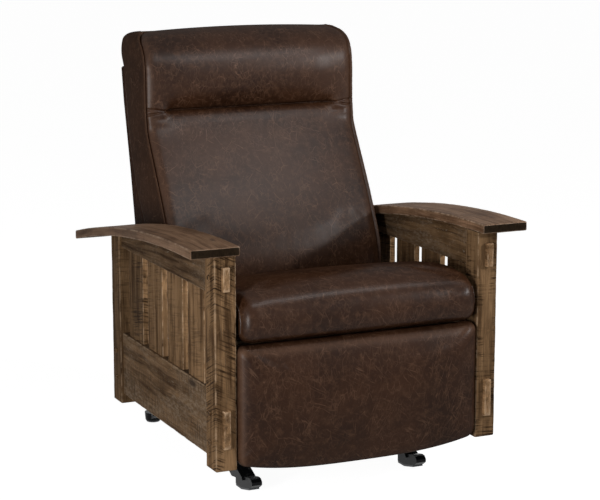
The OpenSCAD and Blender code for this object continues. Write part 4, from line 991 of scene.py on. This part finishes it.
class RECLINER_OT_metal(bpy.types.Operator):
    """Finishes for the steel, rubber, glides, springs, webbing and inner wood of the frame"""
    bl_idname = "recliner.metal"
    bl_label = "Steel and inner wood"

    def execute(self, context):
        wood = context.scene.recliner_wood
        finishes = {
            "black_steel": steel("black paint", (0.005, 0.005, 0.0055), 0.30, 0.0, 0.07),
            "link_steel": steel("link paint", (0.035, 0.036, 0.038), 0.38, 0.0),
            "pin_steel": steel("zinc pins", (0.50, 0.50, 0.52), 0.34, 1.0),
            "spring_steel": steel("spring wire", (0.30, 0.31, 0.33), 0.42, 1.0),
            "bush_rubber": steel("bush rubber", (0.015, 0.015, 0.015), 0.7, 0.0, 0.3),
            "glide_plastic": steel("glide plastic", (0.05, 0.052, 0.056), 0.42, 0.0, 0.2),
            "jute_webbing": webbing("jute webbing"),
            "frame_wood": plain_wood("frame wood", tuple(wood.inner)),
        }
        for node, slot in SLOTS.items():
            obj = NODES[node]
            if slot in finishes and not obj.hide_render:
                obj.data.materials.clear()
                obj.data.materials.append(finishes[slot])
        return {"FINISHED"}


class RECLINER_OT_stage(bpy.types.Operator):
    """Camera, floor, lamps and world"""
    bl_idname = "recliner.stage"
    bl_label = "Stage"

    def execute(self, context):
        stage = context.scene.recliner_stage
        self.camera(context.scene, stage)
        self.floor()
        self.world(context.scene, stage)
        self.lamp("key lamp", (2.4, -2.3, 1.8), (0.22, 0.22), stage.key)
        self.lamp("side lamp", (-2.5, -2.1, 0.62), (0.45, 1.15), stage.side)
        self.lamp("top lamp", (0.3, -0.8, 1.75), (1.2, 0.25), stage.top)
        context.scene.view_settings.view_transform = "Standard"
        return {"FINISHED"}

    def camera(self, scene, stage):
        """The camera looks along its yaw and pitch, level from side to side."""
        data = bpy.data.cameras.new("camera")
        data.lens, data.sensor_width = stage.lens, 36
        data.clip_start, data.clip_end = 0.1, 200
        obj = link("camera", data)
        turn = Euler((math.pi / 2 - stage.pitch, 0, -stage.yaw))
        obj.matrix_world = Matrix.LocRotScale(stage.place, turn, None)
        scene.camera = obj

    def floor(self):
        """A floor that the camera sees as white and that still takes soft shadows."""
        mesh = bpy.data.meshes.new("floor")
        mesh.from_pydata([(-40, -40, 0), (40, -40, 0), (40, 40, 0), (-40, 40, 0)], [],
                         [(0, 1, 2, 3)])
        obj = link("floor", mesh)
        f = Finish("pale floor", rough=0.9, specular=0.0)
        f.shader.inputs["Base Color"].default_value = (0.30, 0.30, 0.30, 1)
        glow = f.add("Emission", {})
        f.shown(glow.node.inputs["Strength"], 0.0, 0.96)
        both = f.add("AddShader", {0: f.shader.outputs[0], 1: glow})
        f.tree.links.new(both, f.tree.nodes["Material Output"].inputs["Surface"])
        mesh.materials.append(f.material)

    def world(self, scene, stage):
        """A white world that lights the chair only faintly."""
        world = scene.world = bpy.data.worlds.new("pale studio")
        world.use_nodes = True
        back = world.node_tree.nodes["Background"]
        back.inputs["Color"].default_value = (1, 1, 1, 1)
        Nodes(world.node_tree).shown(back.inputs["Strength"], stage.air, 1.0)

    def lamp(self, name, place, size, power):
        """A lamp with a flat face that is turned to the middle of the chair."""
        data = bpy.data.lights.new(name, "AREA")
        data.shape, data.energy = "RECTANGLE", power
        data.size, data.size_y = size
        obj = link(name, data)
        obj.location = place
        way = Vector((0, 0, 0.55)) - Vector(place)
        obj.rotation_euler = way.to_track_quat("-Z", "Y").to_euler()


class RECLINER_PT_panel(bpy.types.Panel):
    """Sizes, colours and steps of the recliner"""
    bl_idname = "RECLINER_PT_panel"
    bl_label = "Rocker Recliner"
    bl_space_type = "VIEW_3D"
    bl_region_type = "UI"
    bl_category = "Recliner"

    def draw(self, context):
        for group in (getattr(context.scene, name) for name in GROUPS):
            box = self.layout.box()
            for name in group.bl_rna.properties.keys():
                if name not in ("rna_type", "name"):
                    box.prop(group, name)
        for step in STEPS:
            self.layout.operator(step.bl_idname)


STEPS = (RECLINER_OT_stage, RECLINER_OT_boards, RECLINER_OT_cushions, RECLINER_OT_metal)
GROUPS = {"recliner_wood": WoodSettings, "recliner_leather": LeatherSettings,
          "recliner_stage": StageSettings}
CLASSES = (*GROUPS.values(), *STEPS, RECLINER_PT_panel)


def register():
    for cls in CLASSES:
        bpy.utils.register_class(cls)
    for name, group in GROUPS.items():
        setattr(bpy.types.Scene, name, PointerProperty(type=group))


def unregister():
    for name in GROUPS:
        delattr(bpy.types.Scene, name)
    for cls in reversed(CLASSES):
        bpy.utils.unregister_class(cls)


def main():
    register()
    bpy.ops.recliner.stage()
    bpy.ops.recliner.boards()
    bpy.ops.recliner.cushions()
    bpy.ops.recliner.metal()


if __name__ == "__main__":
    main()
